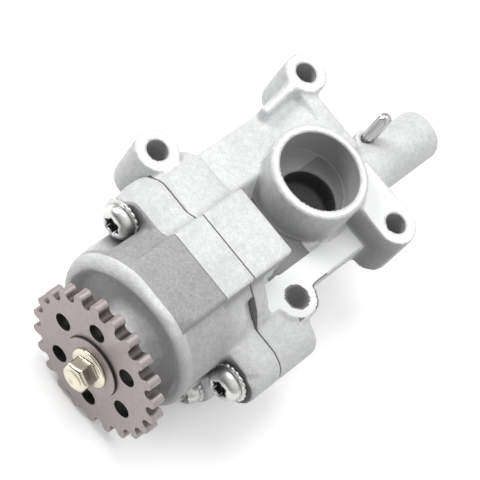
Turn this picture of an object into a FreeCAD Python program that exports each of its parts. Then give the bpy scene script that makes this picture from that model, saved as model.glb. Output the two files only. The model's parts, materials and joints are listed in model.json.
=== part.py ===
import FreeCAD, Part
import math
import os
import re
import Sketcher

os.makedirs("parts", exist_ok=True)
doc = FreeCAD.newDocument("engine_oil_pump")
Vector = FreeCAD.Vector

# Frame: +Y runs from the sprocket to the rear along the shaft, +Z comes out of the inlet,
# +X completes it. The origin is the mouth of the oil outlet in the mounting plane, and the
# shaft axis lies in that plane, straight in front of the outlet.
DIMS = {
    # Levels along the shaft
    "hub_proud": 1.2,
    "hub_tail_length": 6.5,
    "sprocket_thick": 5.0,
    "boss_out": 3.0,
    "cover_length": 38.0,
    "ridge_flat": 14.0,
    "flange_thick": 15.5,
    "chamber_depth": 22.0,
    "parting": -24.0,
    "flank_length": 7.0,
    "belly_length": 13.0,
    "block_length": 20.0,
    "lug_length": 20.0,
    # Drum and screw lugs
    "drum_x": -3.4,
    "drum_wall": 7.7,
    "drum_rim_round": 3.0,
    "rim_land": 1.0,
    "dish_depth": 4.5,
    "boss_radius": 12.0,
    "left_screw_out": 3.2,
    "left_screw_z": 14.5,
    "left_lug_radius": 9.0,
    "right_screw_out": 2.2,
    "right_screw_z": 1.2,
    "right_lug_radius": 10.5,
    "low_left_out": 0.4,
    "low_right_in": 5.6,
    "low_screw_rise": 8.6,
    "low_lug_radius": 7.5,
    # Ridge on top
    "ridge_left": -17.5,
    "ridge_right": 12.5,
    "ridge_top": 32.0,
    "ridge_front_z": 29.3,
    "left_pad_x": -33.0,
    "left_pad_z": 19.0,
    "left_pad_round": 6.5,
    "slot_left": 16.0,
    "slot_right": 24.5,
    "slot_high": 19.6,
    "slot_width": 4.5,
    # Rotor set
    "inner_teeth": 5.0,
    "eccentricity": 2.65,
    "lobe_circle": 19.7,
    "lobe_radius": 6.4,
    "rotor_wall": 3.5,
    "chamber_gap": 0.1,
    "tip_gap": 0.1,
    "rotor_end_gap": 0.05,
    # Shaft, bushes and what drives them
    "shaft_radius": 6.5,
    "seat_radius": 6.0,
    "shaft_tail": 8.8,
    "running_gap": 0.04,
    "slip_gap": 0.03,
    "bush_wall": 1.8,
    "rear_bush_length": 9.5,
    "drive_pin_radius": 2.0,
    "drive_pin_length": 18.0,
    "thrust_radius": 10.0,
    "thrust_thick": 1.45,
    "thrust_gap": 0.05,
    "key_width": 3.0,
    "key_length": 8.0,
    "key_sunk": 1.8,
    "key_proud": 1.2,
    # Sprocket
    "sprocket_teeth": 22.0,
    "chain_pitch": 8.0,
    "seat_circle": 1.95,
    "lightening_radius": 3.5,
    "lightening_circle": 18.1,
    "lightening_start": -10.5,
    "hub_radius": 12.0,
    "hub_tail_radius": 10.0,
    # Sprocket bolt
    "bolt_shank": 3.9,
    "bolt_tapping": 4.0,
    "bolt_length": 18.0,
    "bolt_flange_radius": 8.0,
    "bolt_flange_thick": 1.2,
    "bolt_head_flats": 12.0,
    "bolt_head_height": 6.6,
    # Cover screws and washers
    "screw_shank": 2.9,
    "screw_clear": 3.3,
    "screw_tapping": 3.0,
    "screw_reach": 13.0,
    "screw_head_radius": 6.8,
    "screw_head_height": 4.6,
    "screw_head_rim": 1.2,
    "recess_radius": 3.2,
    "recess_depth": 2.6,
    "washer_radius": 8.4,
    "washer_thick": 1.4,
    "head_room": 8.7,
    "low_head_radius": 5.4,
    "low_washer_radius": 6.2,
    "low_head_room": 6.6,
    "dowel_radius": 2.0,
    "dowel_length": 10.0,
    "dowel_left_out": 6.7,
    "dowel_top_x": 7.0,
    "dowel_top_out": 2.2,
    # Deck, posts and mounting holes
    "deck_top": 12.5,
    "post_top": 24.0,
    "post_radius": 8.8,
    "bolt_hole": 4.25,
    "post_a_x": -46.2,
    "post_a_y": -16.4,
    "post_b_x": -40.0,
    "post_b_y": 58.0,
    "post_c_x": 26.0,
    "post_c_y": 45.0,
    "ear_x": 24.8,
    "ear_y": -2.6,
    "ear_top": 13.0,
    "bar_left": 14.5,
    "bar_right": 25.0,
    "web_left": -38.5,
    "web_right": -14.0,
    "web_low": 17.5,
    "web_high": 22.5,
    "rib_thick": 4.0,
    "rib_front": 31.0,
    "pocket_left": -34.5,
    "pocket_right": -20.5,
    "pocket_front": 0.0,
    "pocket_length": 18.0,
    "pocket_depth": 9.0,
    # Inlet
    "inlet_x": -5.4,
    "inlet_y": 28.3,
    "inlet_top": 31.0,
    "inlet_bore": 16.1,
    "inlet_collar": 19.7,
    "inlet_depth": 15.0,
    "sump_x": -1.6,
    "sump_y": 26.4,
    "sump_radius": 11.5,
    "sump_depth": 24.0,
    "suction_x": -13.0,
    "suction_z": 7.2,
    "suction_bore": 4.6,
    # Ports
    "port_margin": 1.4,
    "port_width": 7.1,
    "port_depth": 8.0,
    "port_half_angle": 56.0,
    "gallery_x": 7.5,
    "gallery_z": 7.6,
    "gallery_bore": 4.0,
    "outlet_bore": 6.5,
    "outlet_depth": 11.0,
    "seal_inner": 7.6,
    "seal_outer": 9.8,
    "seal_depth": 1.6,
    "seal_section": 1.0,
    # Relief valve
    "relief_x": 2.5,
    "relief_z": 11.0,
    "tube_radius": 10.4,
    "tube_front": 40.0,
    "tube_rear": 92.0,
    "relief_bore": 6.5,
    "relief_start": 50.0,
    "relief_feed": 2.2,
    "relief_feed_z": 3.6,
    "dump_y": 59.0,
    "dump_bore": 2.0,
    "piston_front": 53.0,
    "piston_length": 13.0,
    "piston_gap": 0.05,
    "piston_cup": 4.7,
    "piston_crown": 3.0,
    "relief_travel": 6.0,
    "plug_bore": 7.6,
    "plug_front": 80.0,
    "plug_sunk": 1.0,
    "plug_spigot": 3.2,
    "plug_hex": 8.0,
    "seal_ring_thick": 1.2,
    "spring_radius": 3.7,
    "spring_wire": 0.8,
    "spring_turns": 6.0,
    # Retaining pin beside the tube
    "pin_x": -7.0,
    "pin_y": 65.5,
    "pin_radius": 2.0,
    "pin_low": 8.0,
    "pin_top": 35.0,
    "pin_groove": 0.3,
    "pin_groove_pitch": 3.6,
    "pin_boss_radius": 4.6,
    "pin_boss_top": 17.0,
}

# Sizes and places that follow from the driving ones, from the joint face of body and cover
FOLLOWING = {
    "drum_front": "parting - cover_length",
    "boss_front": "drum_front - boss_out",
    "hub_rear": "boss_front - thrust_gap - thrust_thick",
    "sprocket_front": "hub_rear - hub_tail_length - sprocket_thick",
    "bolt_flange_y": "sprocket_front - hub_proud",
    "flange_front": "parting - flange_thick",
    "ramp_top_y": "parting - ridge_flat",
    "chamber_front": "parting - chamber_depth",
    "shaft_rear": "parting + shaft_tail",
    "flank_rear": "parting + flank_length",
    "belly_rear": "parting + belly_length",
    "block_rear": "parting + block_length",
    "lug_rear": "parting + lug_length",
    "rotor_radius": "lobe_circle + rotor_wall",
    "chamber_radius": "rotor_radius + chamber_gap",
    "drum_radius": "chamber_radius + drum_wall",
    "dish_edge": "drum_radius - drum_rim_round - rim_land",
    "left_screw_x": "-drum_radius - left_screw_out",
    "right_screw_x": "drum_radius + right_screw_out",
    "low_screw_left_x": "-drum_radius - low_left_out",
    "low_screw_right_x": "drum_radius - low_right_in",
    "low_screw_z": "low_screw_rise - drum_radius",
    "dowel_left_x": "-chamber_radius - dowel_left_out",
    "dowel_top_z": "chamber_radius + dowel_top_out",
    "bush_radius": "shaft_radius + bush_wall",
    "bore_radius": "shaft_radius + running_gap",
    "port_outer": "lobe_circle - port_margin",
    "port_inner": "port_outer - port_width",
    "spring_front": "piston_front + piston_crown + 0.1 + spring_wire",
    "spring_rear": "plug_front + seal_ring_thick - 0.1 - spring_wire",
}

sheet = doc.addObject("Spreadsheet::Sheet", "dims")
for row, (alias, number) in enumerate(DIMS.items(), start=1):
    sheet.set("A%d" % row, alias)
    sheet.set("B%d" % row, "%g" % number)
    sheet.setAlias("B%d" % row, alias)
doc.recompute()


def bind(text):
    """The expression with driving sizes read from the sheet and the following ones worked out."""
    def spell(match):
        word = match[0]
        if word in FOLLOWING:
            return "(" + bind(FOLLOWING[word]) + ")"
        return "dims." + word if word in DIMS else word
    return re.sub(r"[a-z][a-z_]*[a-z]", spell, text)


def value(text):
    """The present value of an expression in millimetres or degrees."""
    return float(sheet.evalExpression(bind(text)))


def set_size(obj, **sizes):
    for name, text in sizes.items():
        obj.setExpression(name, bind(text))


def place(obj, x="0", y="0", z="0"):
    for axis, text in (("x", x), ("y", y), ("z", z)):
        obj.setExpression("Placement.Base." + axis, bind(text))


# Sketches


def sketch_on(body, name, plane, level, x="0", y="0"):
    """A sketch parallel to an origin plane at a level of that plane's own third axis."""
    sketch = body.newObject("Sketcher::SketchObject", name)
    support = next(f for f in body.Origin.OriginFeatures if f.Role == plane)
    sketch.AttachmentSupport = [(support, "")]
    sketch.MapMode = "FlatFace"
    flip = "-1" if plane == "XZ_Plane" else "1"
    offsets = {"x": x, "y": y, "z": "%s * (%s)" % (flip, level)}
    for axis, text in offsets.items():
        sketch.setExpression("AttachmentOffset.Base." + axis, bind(text))
    return sketch


def fix_point(sketch, piece, spot, x, y):
    for kind, text in (("DistanceX", x), ("DistanceY", y)):
        index = sketch.addConstraint(Sketcher.Constraint(kind, -1, 1, piece, spot, value(text)))
        sketch.setExpression("Constraints[%d]" % index, bind(text))


def fix_radius(sketch, piece, radius):
    index = sketch.addConstraint(Sketcher.Constraint("Radius", piece, value(radius)))
    sketch.setExpression("Constraints[%d]" % index, bind(radius))


def circle(sketch, x, y, radius):
    shape = Part.Circle(Vector(value(x), value(y), 0), Vector(0, 0, 1), value(radius))
    piece = sketch.addGeometry(shape, False)
    fix_point(sketch, piece, 3, x, y)
    fix_radius(sketch, piece, radius)


def outline(sketch, points):
    """A closed outline of straight lines through points given as pairs of expressions."""
    spots = [Vector(value(x), value(y), 0) for x, y in points]
    count = len(spots)
    lines = []
    for i in range(count):
        lines.append(sketch.addGeometry(Part.LineSegment(spots[i], spots[(i + 1) % count]), False))
    for i in range(count):
        following = lines[(i + 1) % count]
        sketch.addConstraint(Sketcher.Constraint("Coincident", lines[i], 2, following, 1))
    for line, (x, y) in zip(lines, points):
        fix_point(sketch, line, 1, x, y)


def tongue(sketch, inner, x, y, radius):
    """A tongue from x = inner to a round end about (x, y), running along the sketch's x."""
    side = 1 if value(x) > value(inner) else -1
    cx, cy, r = value(x), value(y), value(radius)
    start = Vector(value(inner), cy - side * r, 0)
    turn_in = Vector(cx, cy - side * r, 0)
    turn_out = Vector(cx, cy + side * r, 0)
    end = Vector(value(inner), cy + side * r, 0)
    first = sketch.addGeometry(Part.LineSegment(start, turn_in), False)
    middle = Part.Arc(turn_in, Vector(cx + side * r, cy, 0), turn_out)
    arc = sketch.addGeometry(middle, False)
    second = sketch.addGeometry(Part.LineSegment(turn_out, end), False)
    back = sketch.addGeometry(Part.LineSegment(end, start), False)
    sketch.addConstraint(Sketcher.Constraint("Tangent", first, 2, arc, 1))
    sketch.addConstraint(Sketcher.Constraint("Tangent", arc, 2, second, 1))
    sketch.addConstraint(Sketcher.Constraint("Coincident", second, 2, back, 1))
    sketch.addConstraint(Sketcher.Constraint("Coincident", back, 2, first, 1))
    sketch.addConstraint(Sketcher.Constraint("Horizontal", first))
    sketch.addConstraint(Sketcher.Constraint("Horizontal", second))
    sketch.addConstraint(Sketcher.Constraint("Vertical", back))
    fix_point(sketch, arc, 3, x, y)
    fix_radius(sketch, arc, radius)
    index = sketch.addConstraint(Sketcher.Constraint("DistanceX", -1, 1, first, 1, value(inner)))
    sketch.setExpression("Constraints[%d]" % index, bind(inner))


# Bodies and features


def new_body(name):
    body = doc.addObject("PartDesign::Body", name)
    body.Label = name
    return body


def block(body, name, plane, start, stop, draw, cut=False):
    """Adds or cuts what draw(sketch) outlines, from start to stop along the plane's axis."""
    sketch = sketch_on(body, name + "_sketch", plane, start)
    draw(sketch)
    feature = body.newObject("PartDesign::Pocket" if cut else "PartDesign::Pad", name)
    feature.Profile = sketch
    feature.Reversed = (plane == "XZ_Plane") != cut
    set_size(feature, Length="(%s) - (%s)" % (stop, start))
    doc.recompute()
    return feature


def along_shaft(body, name, start, stop, draw, cut=False):
    return block(body, name, "XZ_Plane", start, stop, draw, cut)


def upright(body, name, start, stop, draw, cut=False):
    return block(body, name, "XY_Plane", start, stop, draw, cut)


def across(body, name, start, stop, draw, cut=False):
    return block(body, name, "YZ_Plane", start, stop, draw, cut)


def turned(body, name, points, x="0", z="0"):
    """Turns an outline of (radius, y) points about the line through (x, z) along the shaft."""
    sketch = sketch_on(body, name + "_sketch", "XY_Plane", z, x=x)
    outline(sketch, points)
    feature = body.newObject("PartDesign::Revolution", name)
    feature.Profile = sketch
    feature.ReferenceAxis = (sketch, ["V_Axis"])
    feature.Angle = 360.0
    doc.recompute()
    return feature


def round_edges(body, name, radius, wanted, chamfer=False):
    """Rounds or chamfers the edges of the body's tip that the test picks out."""
    base = body.Tip
    picked = ["Edge%d" % i for i, e in enumerate(base.Shape.Edges, start=1) if wanted(e)]
    if not picked:
        raise ValueError(name + " found no edge")
    feature = body.newObject("PartDesign::Chamfer" if chamfer else "PartDesign::Fillet", name)
    feature.Base = (base, picked)
    set_size(feature, **{"Size" if chamfer else "Radius": radius})
    doc.recompute()
    return feature


def near(a, b):
    return abs(a - b) < 0.01


def level_circle(edge, axis, level, radius):
    """True for a full circle of this radius that lies in the plane axis = level."""
    curve = edge.Curve
    if not isinstance(curve, Part.Circle) or not near(curve.Radius, radius):
        return False
    return near(getattr(curve.Center, axis), level)


SCREWS = {
    1: ("left_screw_x", "left_screw_z", "left_lug_radius", ""),
    2: ("right_screw_x", "right_screw_z", "right_lug_radius", ""),
    3: ("low_screw_right_x", "low_screw_z", "low_lug_radius", "low_"),
    4: ("low_screw_left_x", "low_screw_z", "low_lug_radius", "low_"),
}
POSTS = {
    "a": ("post_a_x", "post_a_y", "post_top"),
    "b": ("post_b_x", "post_b_y", "post_top"),
    "c": ("post_c_x", "post_c_y", "post_top"),
    "ear": ("ear_x", "ear_y", "ear_top"),
}
DOWELS = {1: ("dowel_left_x", "0"), 2: ("dowel_top_x", "dowel_top_z")}


def draw_circle(x, z, radius):
    return lambda sketch: circle(sketch, x, z, radius)


def draw_outline(points):
    return lambda sketch: outline(sketch, points)


def draw_tongue(inner, x, z, radius):
    return lambda sketch: tongue(sketch, inner, x, z, radius)


def draw_box(left, low, right, high):
    return draw_outline([(left, low), (right, low), (right, high), (left, high)])


def add_lugs(body, front, rears, right_start="drum_x"):
    """The four screw lugs and the pad over the left one: tongues level with the drum."""
    for number, (x, z, radius, _) in SCREWS.items():
        draw = draw_tongue(right_start if number == 2 else "drum_x", x, z, radius)
        along_shaft(body, "lug_%d" % number, front, rears[number], draw)
    pad = draw_tongue("drum_x", "left_pad_x", "left_pad_z", "left_pad_round")
    along_shaft(body, "left_pad", front, rears[1], pad)


def make_front_cover():
    body = new_body("front_cover")
    floor = "drum_front + dish_depth"
    turned(body, "drum", [
        ("0", "parting"),
        ("drum_radius", "parting"),
        ("drum_radius", "drum_front"),
        ("dish_edge", "drum_front"),
        ("dish_edge - 2", floor),
        ("0", floor),
    ], x="drum_x")
    radius = value("drum_radius")
    front = value("drum_front")
    round_edges(body, "rim_round", "drum_rim_round", lambda e: level_circle(e, "y", front, radius))
    ramp = [
        ("drum_front - 1", "ridge_front_z"),
        ("ramp_top_y", "ridge_top"),
        ("ramp_top_y", "ridge_top + 2"),
        ("drum_front - 1", "ridge_top + 2"),
    ]
    across(body, "ramp_cut", "ridge_left", "ridge_right", draw_outline(ramp), cut=True)
    ridge = [
        ("drum_front + 1", "0"),
        ("parting", "0"),
        ("parting", "ridge_top"),
        ("ramp_top_y", "ridge_top"),
        ("drum_front + drum_rim_round", RAMP_Z % "drum_rim_round"),
        ("drum_front + 1.5", RAMP_Z % "1.5" + " - 0.8"),
        ("drum_front + 1", RAMP_Z % "1" + " - 2.5"),
    ]
    across(body, "ridge", "ridge_left", "ridge_right", draw_outline(ridge))
    add_lugs(body, "flange_front", dict.fromkeys(SCREWS, "parting"))
    along_shaft(body, "boss", "boss_front", "drum_front + 6", draw_circle("0", "0", "boss_radius"))
    chamber = draw_circle("0", "-eccentricity", "chamber_radius")
    along_shaft(body, "chamber", "chamber_front", "parting", chamber, cut=True)
    bore = draw_circle("0", "0", "bush_radius")
    along_shaft(body, "bush_bore", "boss_front - 1", "chamber_front", bore, cut=True)
    for number, (x, z, _, kind) in SCREWS.items():
        room = draw_circle(x, z, kind + "head_room")
        along_shaft(body, "head_room_%d" % number, "drum_front - 1", "flange_front", room, cut=True)
        hole = draw_circle(x, z, "screw_clear")
        along_shaft(body, "screw_hole_%d" % number, "flange_front - 1", "parting", hole, cut=True)
    for number, (x, z) in DOWELS.items():
        hole = draw_circle(x, z, "dowel_radius + slip_gap")
        start = "parting - dowel_length / 2"
        along_shaft(body, "dowel_hole_%d" % number, start, "parting", hole, cut=True)
    low = "right_screw_z + right_lug_radius"
    slot = draw_outline([
        ("slot_left", "slot_high"),
        ("slot_right", low),
        ("drum_radius + 5", low),
        ("drum_radius + 5", "drum_radius"),
        ("slot_left", "drum_radius"),
    ])
    post = draw_circle("post_a_x", "post_a_y", "post_radius + 0.3")
    upright(body, "post_room", "0", "post_top + 1", post, cut=True)
    along_shaft(body, "pry_slot", "parting - slot_width", "parting", slot, cut=True)
    return body


RAMP_Z = ("ridge_front_z + (1 + %s) * (ridge_top - ridge_front_z)"
          " / (ramp_top_y - drum_front + 1)")


def make_pump_body():
    body = new_body("pump_body")
    # Rotor end of the casting: a belly below the mounting plane and a block above it
    flank = draw_circle("drum_x", "0", "drum_radius")
    along_shaft(body, "belly", "parting", "belly_rear", flank)
    along_shaft(body, "rotor_block", "belly_rear", "block_rear", flank)
    below = draw_box("drum_x - drum_radius - 2", "-drum_radius - 2", "drum_x + drum_radius + 2", "0")
    along_shaft(body, "block_foot", "belly_rear", "block_rear + 1", below, cut=True)
    beside = draw_box("ridge_right", "ear_top", "drum_radius", "drum_radius")
    along_shaft(body, "flank_cut", "flank_rear", "block_rear + 1", beside, cut=True)
    ridge = draw_box("ridge_left", "0", "ridge_right", "ridge_top")
    along_shaft(body, "ridge", "parting", "block_rear", ridge)
    rears = {1: "block_rear", 2: "lug_rear", 3: "belly_rear", 4: "belly_rear"}
    add_lugs(body, "parting", rears, right_start="bar_right - 4")
    # Deck with its left web, and the gallery bar on the right
    deck = [
        ("web_left", "belly_rear"),
        ("bar_right", "belly_rear"),
        ("bar_right", "post_c_y"),
        ("relief_x + tube_radius", "post_c_y + post_radius"),
        ("web_left", "post_b_y"),
    ]
    upright(body, "deck", "0", "deck_top", draw_outline(deck))
    web = draw_outline([
        ("web_left", "0"),
        ("web_right", "0"),
        ("web_right", "deck_top"),
        ("ridge_left - 1", "web_high"),
        ("web_left", "web_low"),
    ])
    along_shaft(body, "left_web", "block_rear", "post_b_y - 2", web)
    bar = draw_box("bar_left", "belly_rear + 2", "bar_right", "post_c_y")
    upright(body, "gallery_bar", "0", "ear_top", bar)
    # Posts and what joins them to the casting
    for name, (x, y, top) in POSTS.items():
        upright(body, "post_" + name, "0", top, draw_circle(x, y, "post_radius"))
    arm_a = draw_box("post_a_x", "post_a_y - 6", "left_screw_x", "post_a_y + 6")
    upright(body, "arm_a", "0", "left_screw_z + 3", arm_a)
    arm_c = draw_box("0", "post_c_y - post_radius", "post_c_x", "post_c_y + post_radius")
    upright(body, "arm_c", "0", "post_top", arm_c)
    rib_b = draw_outline([
        ("web_left", "rib_front"),
        ("web_left + rib_thick", "rib_front"),
        ("post_b_x + rib_thick / 2", "post_b_y"),
        ("post_b_x - rib_thick / 2", "post_b_y"),
    ])
    upright(body, "rib_b", "0", "post_top", rib_b)
    arm_b = draw_box("post_b_x", "post_b_y - 8", "inlet_x", "post_b_y - 1")
    upright(body, "arm_b", "0", "web_high", arm_b)
    # Inlet collar and the relief valve tube with the boss of its pin
    collar = draw_circle("inlet_x", "inlet_y", "inlet_collar")
    upright(body, "collar", "0", "inlet_top", collar)
    tube = draw_circle("relief_x", "relief_z", "tube_radius")
    along_shaft(body, "relief_tube", "tube_front", "tube_rear", tube)
    boss = draw_circle("pin_x", "pin_y", "pin_boss_radius")
    upright(body, "pin_boss", "0", "pin_boss_top", boss)
    # Inlet pocket, ports and passages
    mouth = draw_circle("inlet_x", "inlet_y", "inlet_bore")
    upright(body, "inlet_bore_cut", "inlet_top - inlet_depth", "inlet_top", mouth, cut=True)
    sump = draw_circle("sump_x", "sump_y", "sump_radius")
    upright(body, "inlet_sump", "inlet_top - sump_depth", "inlet_top", sump, cut=True)
    suction = draw_circle("suction_x", "suction_z", "suction_bore")
    port_floor = "parting + port_depth - 0.5"
    along_shaft(body, "suction_passage", port_floor, "inlet_y - 2", suction, cut=True)
    for name, side in (("pressure", 1), ("suction", -1)):
        along_shaft(body, name + "_port", "parting", "parting + port_depth", draw_port(side), cut=True)
    gallery = draw_circle("gallery_x", "gallery_z", "gallery_bore")
    along_shaft(body, "pressure_gallery", port_floor, "gallery_bore", gallery, cut=True)
    outlet = draw_circle("0", "0", "outlet_bore")
    upright(body, "outlet_cut", "0", "outlet_depth", outlet, cut=True)
    upright(body, "seal_groove", "0", "seal_depth", draw_seal_groove, cut=True)
    feed = draw_circle("relief_x", "relief_feed_z", "relief_feed")
    along_shaft(body, "relief_feed_cut", "0", "relief_start + 1", feed, cut=True)
    bore = draw_circle("relief_x", "relief_z", "relief_bore")
    along_shaft(body, "relief_bore_cut", "relief_start", "tube_rear", bore, cut=True)
    seat = draw_circle("relief_x", "relief_z", "plug_bore")
    along_shaft(body, "plug_seat", "plug_front", "tube_rear", seat, cut=True)
    dump = draw_circle("dump_y", "relief_z", "dump_bore")
    across(body, "dump_hole", "relief_x - tube_radius - 12", "relief_x", dump, cut=True)
    pin_hole = draw_circle("pin_x", "pin_y", "pin_radius + slip_gap")
    upright(body, "pin_hole", "pin_low", "pin_top", pin_hole, cut=True)
    # Coring pockets under the deck with a rib between them
    for k in range(2):
        front = "pocket_front + %d * (pocket_length + rib_thick)" % k
        pocket = draw_box("pocket_left", front, "pocket_right", front + " + pocket_length")
        upright(body, "pocket_%d" % k, "0", "pocket_depth", pocket, cut=True)
    # Shaft end, screws, dowels and the four mounting holes
    bush = draw_circle("0", "0", "bush_radius")
    along_shaft(body, "bush_bore", "parting", "parting + rear_bush_length", bush, cut=True)
    for number, (x, z, _, _) in SCREWS.items():
        hole = draw_circle(x, z, "screw_tapping")
        end = "parting + screw_reach - 0.5"
        along_shaft(body, "tapped_hole_%d" % number, "parting", end, hole, cut=True)
    for number, (x, z) in DOWELS.items():
        hole = draw_circle(x, z, "dowel_radius + slip_gap")
        end = "parting + dowel_length / 2"
        along_shaft(body, "dowel_hole_%d" % number, "parting", end, hole, cut=True)
    for name, (x, y, top) in POSTS.items():
        hole = draw_circle(x, y, "bolt_hole")
        upright(body, "mounting_hole_" + name, "0", top + " + 1", hole, cut=True)
    # Room under the ear, where its screw lug hangs below the mounting plane
    room = draw_circle("ear_x", "ear_y", "bolt_hole + 1.5")
    upright(body, "ear_room", "-right_lug_radius", "0", room, cut=True)
    return body


def draw_seal_groove(sketch):
    circle(sketch, "0", "0", "seal_outer")
    circle(sketch, "0", "0", "seal_inner")


def draw_port(side):
    """A kidney port beside the shaft, with round ends, on the +X side for side = 1."""
    def draw(sketch):
        middle = "((port_outer + port_inner) / 2)"
        half = "((port_outer - port_inner) / 2)"
        turn = "port_half_angle"
        centre_z = "-eccentricity / 2"
        angle = math.radians(value(turn))
        facing = 0 if side == 1 else math.pi
        centre = Vector(0, value(centre_z), 0)
        arcs = []
        for radius in ("port_outer", "port_inner"):
            round_part = Part.Circle(centre, Vector(0, 0, 1), value(radius))
            arc = Part.ArcOfCircle(round_part, facing - angle, facing + angle)
            arcs.append(sketch.addGeometry(arc, False))
        caps = []
        for end in (1, -1):
            bearing = facing + end * angle
            spot = centre + Vector(math.cos(bearing), math.sin(bearing), 0) * value(middle)
            cap = Part.Circle(spot, Vector(0, 0, 1), value(half))
            start = bearing if end == 1 else bearing + math.pi
            caps.append(sketch.addGeometry(Part.ArcOfCircle(cap, start, start + math.pi), False))
        outer, inner = arcs
        last, first = caps
        sketch.addConstraint(Sketcher.Constraint("Tangent", outer, 2, last, 1))
        sketch.addConstraint(Sketcher.Constraint("Tangent", last, 2, inner, 2))
        sketch.addConstraint(Sketcher.Constraint("Tangent", inner, 1, first, 1))
        sketch.addConstraint(Sketcher.Constraint("Tangent", first, 2, outer, 1))
        fix_point(sketch, outer, 3, "0", centre_z)
        fix_radius(sketch, outer, "port_outer")
        fix_radius(sketch, inner, "port_inner")
        for cap, end in ((last, 1), (first, -1)):
            x = "%d * %s * cos(%s)" % (side, middle, turn)
            z = "%d * %s * sin(%s) - eccentricity / 2" % (end * side, middle, turn)
            fix_point(sketch, cap, 3, x, z)
    return draw


def ring(name, inner, outer, start, length, x="0", z="0"):
    """A plain sleeve or washer about a line along the shaft's direction."""
    whole = shaft_cylinder(name + "_outside", outer, start, length, x, z)
    hole = shaft_cylinder(name + "_inside", inner, start + " - 1", length + " + 2", x, z)
    sleeve = doc.addObject("Part::Cut", name)
    sleeve.Base = whole
    sleeve.Tool = hole
    sleeve.Label = name
    return sleeve


def shaft_cylinder(name, radius, start, length, x="0", z="0"):
    """A cylinder from y = start towards +Y."""
    solid = doc.addObject("Part::Cylinder", name)
    set_size(solid, Radius=radius, Height=length)
    solid.Placement = FreeCAD.Placement(Vector(), FreeCAD.Rotation(Vector(1, 0, 0), -90))
    place(solid, x, start, z)
    return solid


def make_bushes():
    front_length = "parting - chamber_depth - boss_front - 0.5"
    front = ring("front_bush", "bore_radius", "bush_radius", "boss_front + 0.5", front_length)
    rear = ring("rear_bush", "bore_radius", "bush_radius", "parting", "rear_bush_length")
    return [front, rear]


def make_drive_shaft():
    body = new_body("drive_shaft")
    turned(body, "turned_shaft", [
        ("0", "sprocket_front + 0.5"),
        ("seat_radius - 0.5", "sprocket_front + 0.5"),
        ("seat_radius", "sprocket_front + 1"),
        ("seat_radius", "hub_rear"),
        ("shaft_radius", "hub_rear"),
        ("shaft_radius", "shaft_rear - 0.6"),
        ("shaft_radius - 0.6", "shaft_rear"),
        ("0", "shaft_rear"),
    ])
    tapping = draw_circle("0", "0", "bolt_tapping")
    end = "bolt_flange_y + bolt_length + 1"
    along_shaft(body, "tapped_bore", "sprocket_front", end, tapping, cut=True)
    keyway = draw_box("-key_width / 2", "seat_radius - key_sunk", "key_width / 2", "seat_radius + 1")
    along_shaft(body, "keyway", "hub_rear - 1 - key_length", "hub_rear - 1", keyway, cut=True)
    cross = draw_circle(DRIVE_PIN_Y, "0", "drive_pin_radius + slip_gap")
    across(body, "cross_hole", "-shaft_radius - 1", "shaft_radius + 1", cross, cut=True)
    return body


DRIVE_PIN_Y = "parting - chamber_depth + rotor_end_gap + drive_pin_radius + 0.1"


def make_drive_pin():
    pin = doc.addObject("Part::Cylinder", "drive_pin")
    set_size(pin, Radius="drive_pin_radius", Height="drive_pin_length")
    pin.Placement = FreeCAD.Placement(Vector(), FreeCAD.Rotation(Vector(0, 1, 0), 90))
    place(pin, "-drive_pin_length / 2", DRIVE_PIN_Y, "0")
    pin.Label = "drive_pin"
    return pin


def make_sprocket():
    """A bush chain sprocket: round seats on the pitch circle with round teeth between them."""
    body = new_body("sprocket")
    pitch_circle = "chain_pitch / 2 / sin(180 / sprocket_teeth)"
    tooth_x = "(%s) * sin(180 / sprocket_teeth)" % pitch_circle
    tooth_z = "(%s) * cos(180 / sprocket_teeth)" % pitch_circle
    tooth_radius = "chain_pitch / 2 - seat_circle"
    rear = "sprocket_front + sprocket_thick"
    along_shaft(body, "disc", "sprocket_front", rear, draw_circle("0", "0", pitch_circle))
    along_shaft(body, "tooth", "sprocket_front", rear, draw_circle(tooth_x, tooth_z, tooth_radius))
    pattern_about_shaft(body, "teeth", body.Tip, "sprocket_teeth")
    seat = draw_circle("0", pitch_circle, "seat_circle")
    along_shaft(body, "chain_seat", "sprocket_front - 1", rear + " + 1", seat, cut=True)
    pattern_about_shaft(body, "chain_seats", body.Tip, "sprocket_teeth")
    raised = draw_circle("0", "0", "hub_radius")
    along_shaft(body, "hub_face", "bolt_flange_y", "sprocket_front", raised)
    tail = draw_circle("0", "0", "hub_tail_radius")
    along_shaft(body, "hub_tail", rear, "hub_rear", tail)
    hole_x = "lightening_circle * cos(lightening_start)"
    hole_z = "lightening_circle * sin(lightening_start)"
    hole = draw_circle(hole_x, hole_z, "lightening_radius")
    along_shaft(body, "lightening_hole", "sprocket_front - 1", rear + " + 1", hole, cut=True)
    pattern_about_shaft(body, "lightening_holes", body.Tip, "6")
    bore = draw_circle("0", "0", "seat_radius + slip_gap")
    along_shaft(body, "shaft_bore", "bolt_flange_y - 1", "hub_rear + 1", bore, cut=True)
    half = "key_width / 2 + slip_gap"
    keyway = draw_box("-(%s)" % half, "0", half, "seat_radius + key_proud + slip_gap")
    along_shaft(body, "hub_keyway", "hub_rear - 1 - key_length", "hub_rear + 1", keyway, cut=True)
    return body


def pattern_about_shaft(body, name, feature, count):
    pattern = body.newObject("PartDesign::PolarPattern", name)
    pattern.Originals = [feature]
    axis = next(f for f in body.Origin.OriginFeatures if f.Role == "Y_Axis")
    pattern.Axis = (axis, [""])
    pattern.Angle = 360.0
    set_size(pattern, Occurrences=count)
    body.Tip = pattern
    doc.recompute()
    return pattern


def make_sprocket_key():
    key = doc.addObject("Part::Box", "sprocket_key")
    set_size(key, Length="key_width", Width="key_length", Height="key_sunk + key_proud")
    place(key, "-key_width / 2", "hub_rear - 1 - key_length", "seat_radius - key_sunk")
    key.Label = "sprocket_key"
    return key


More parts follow.
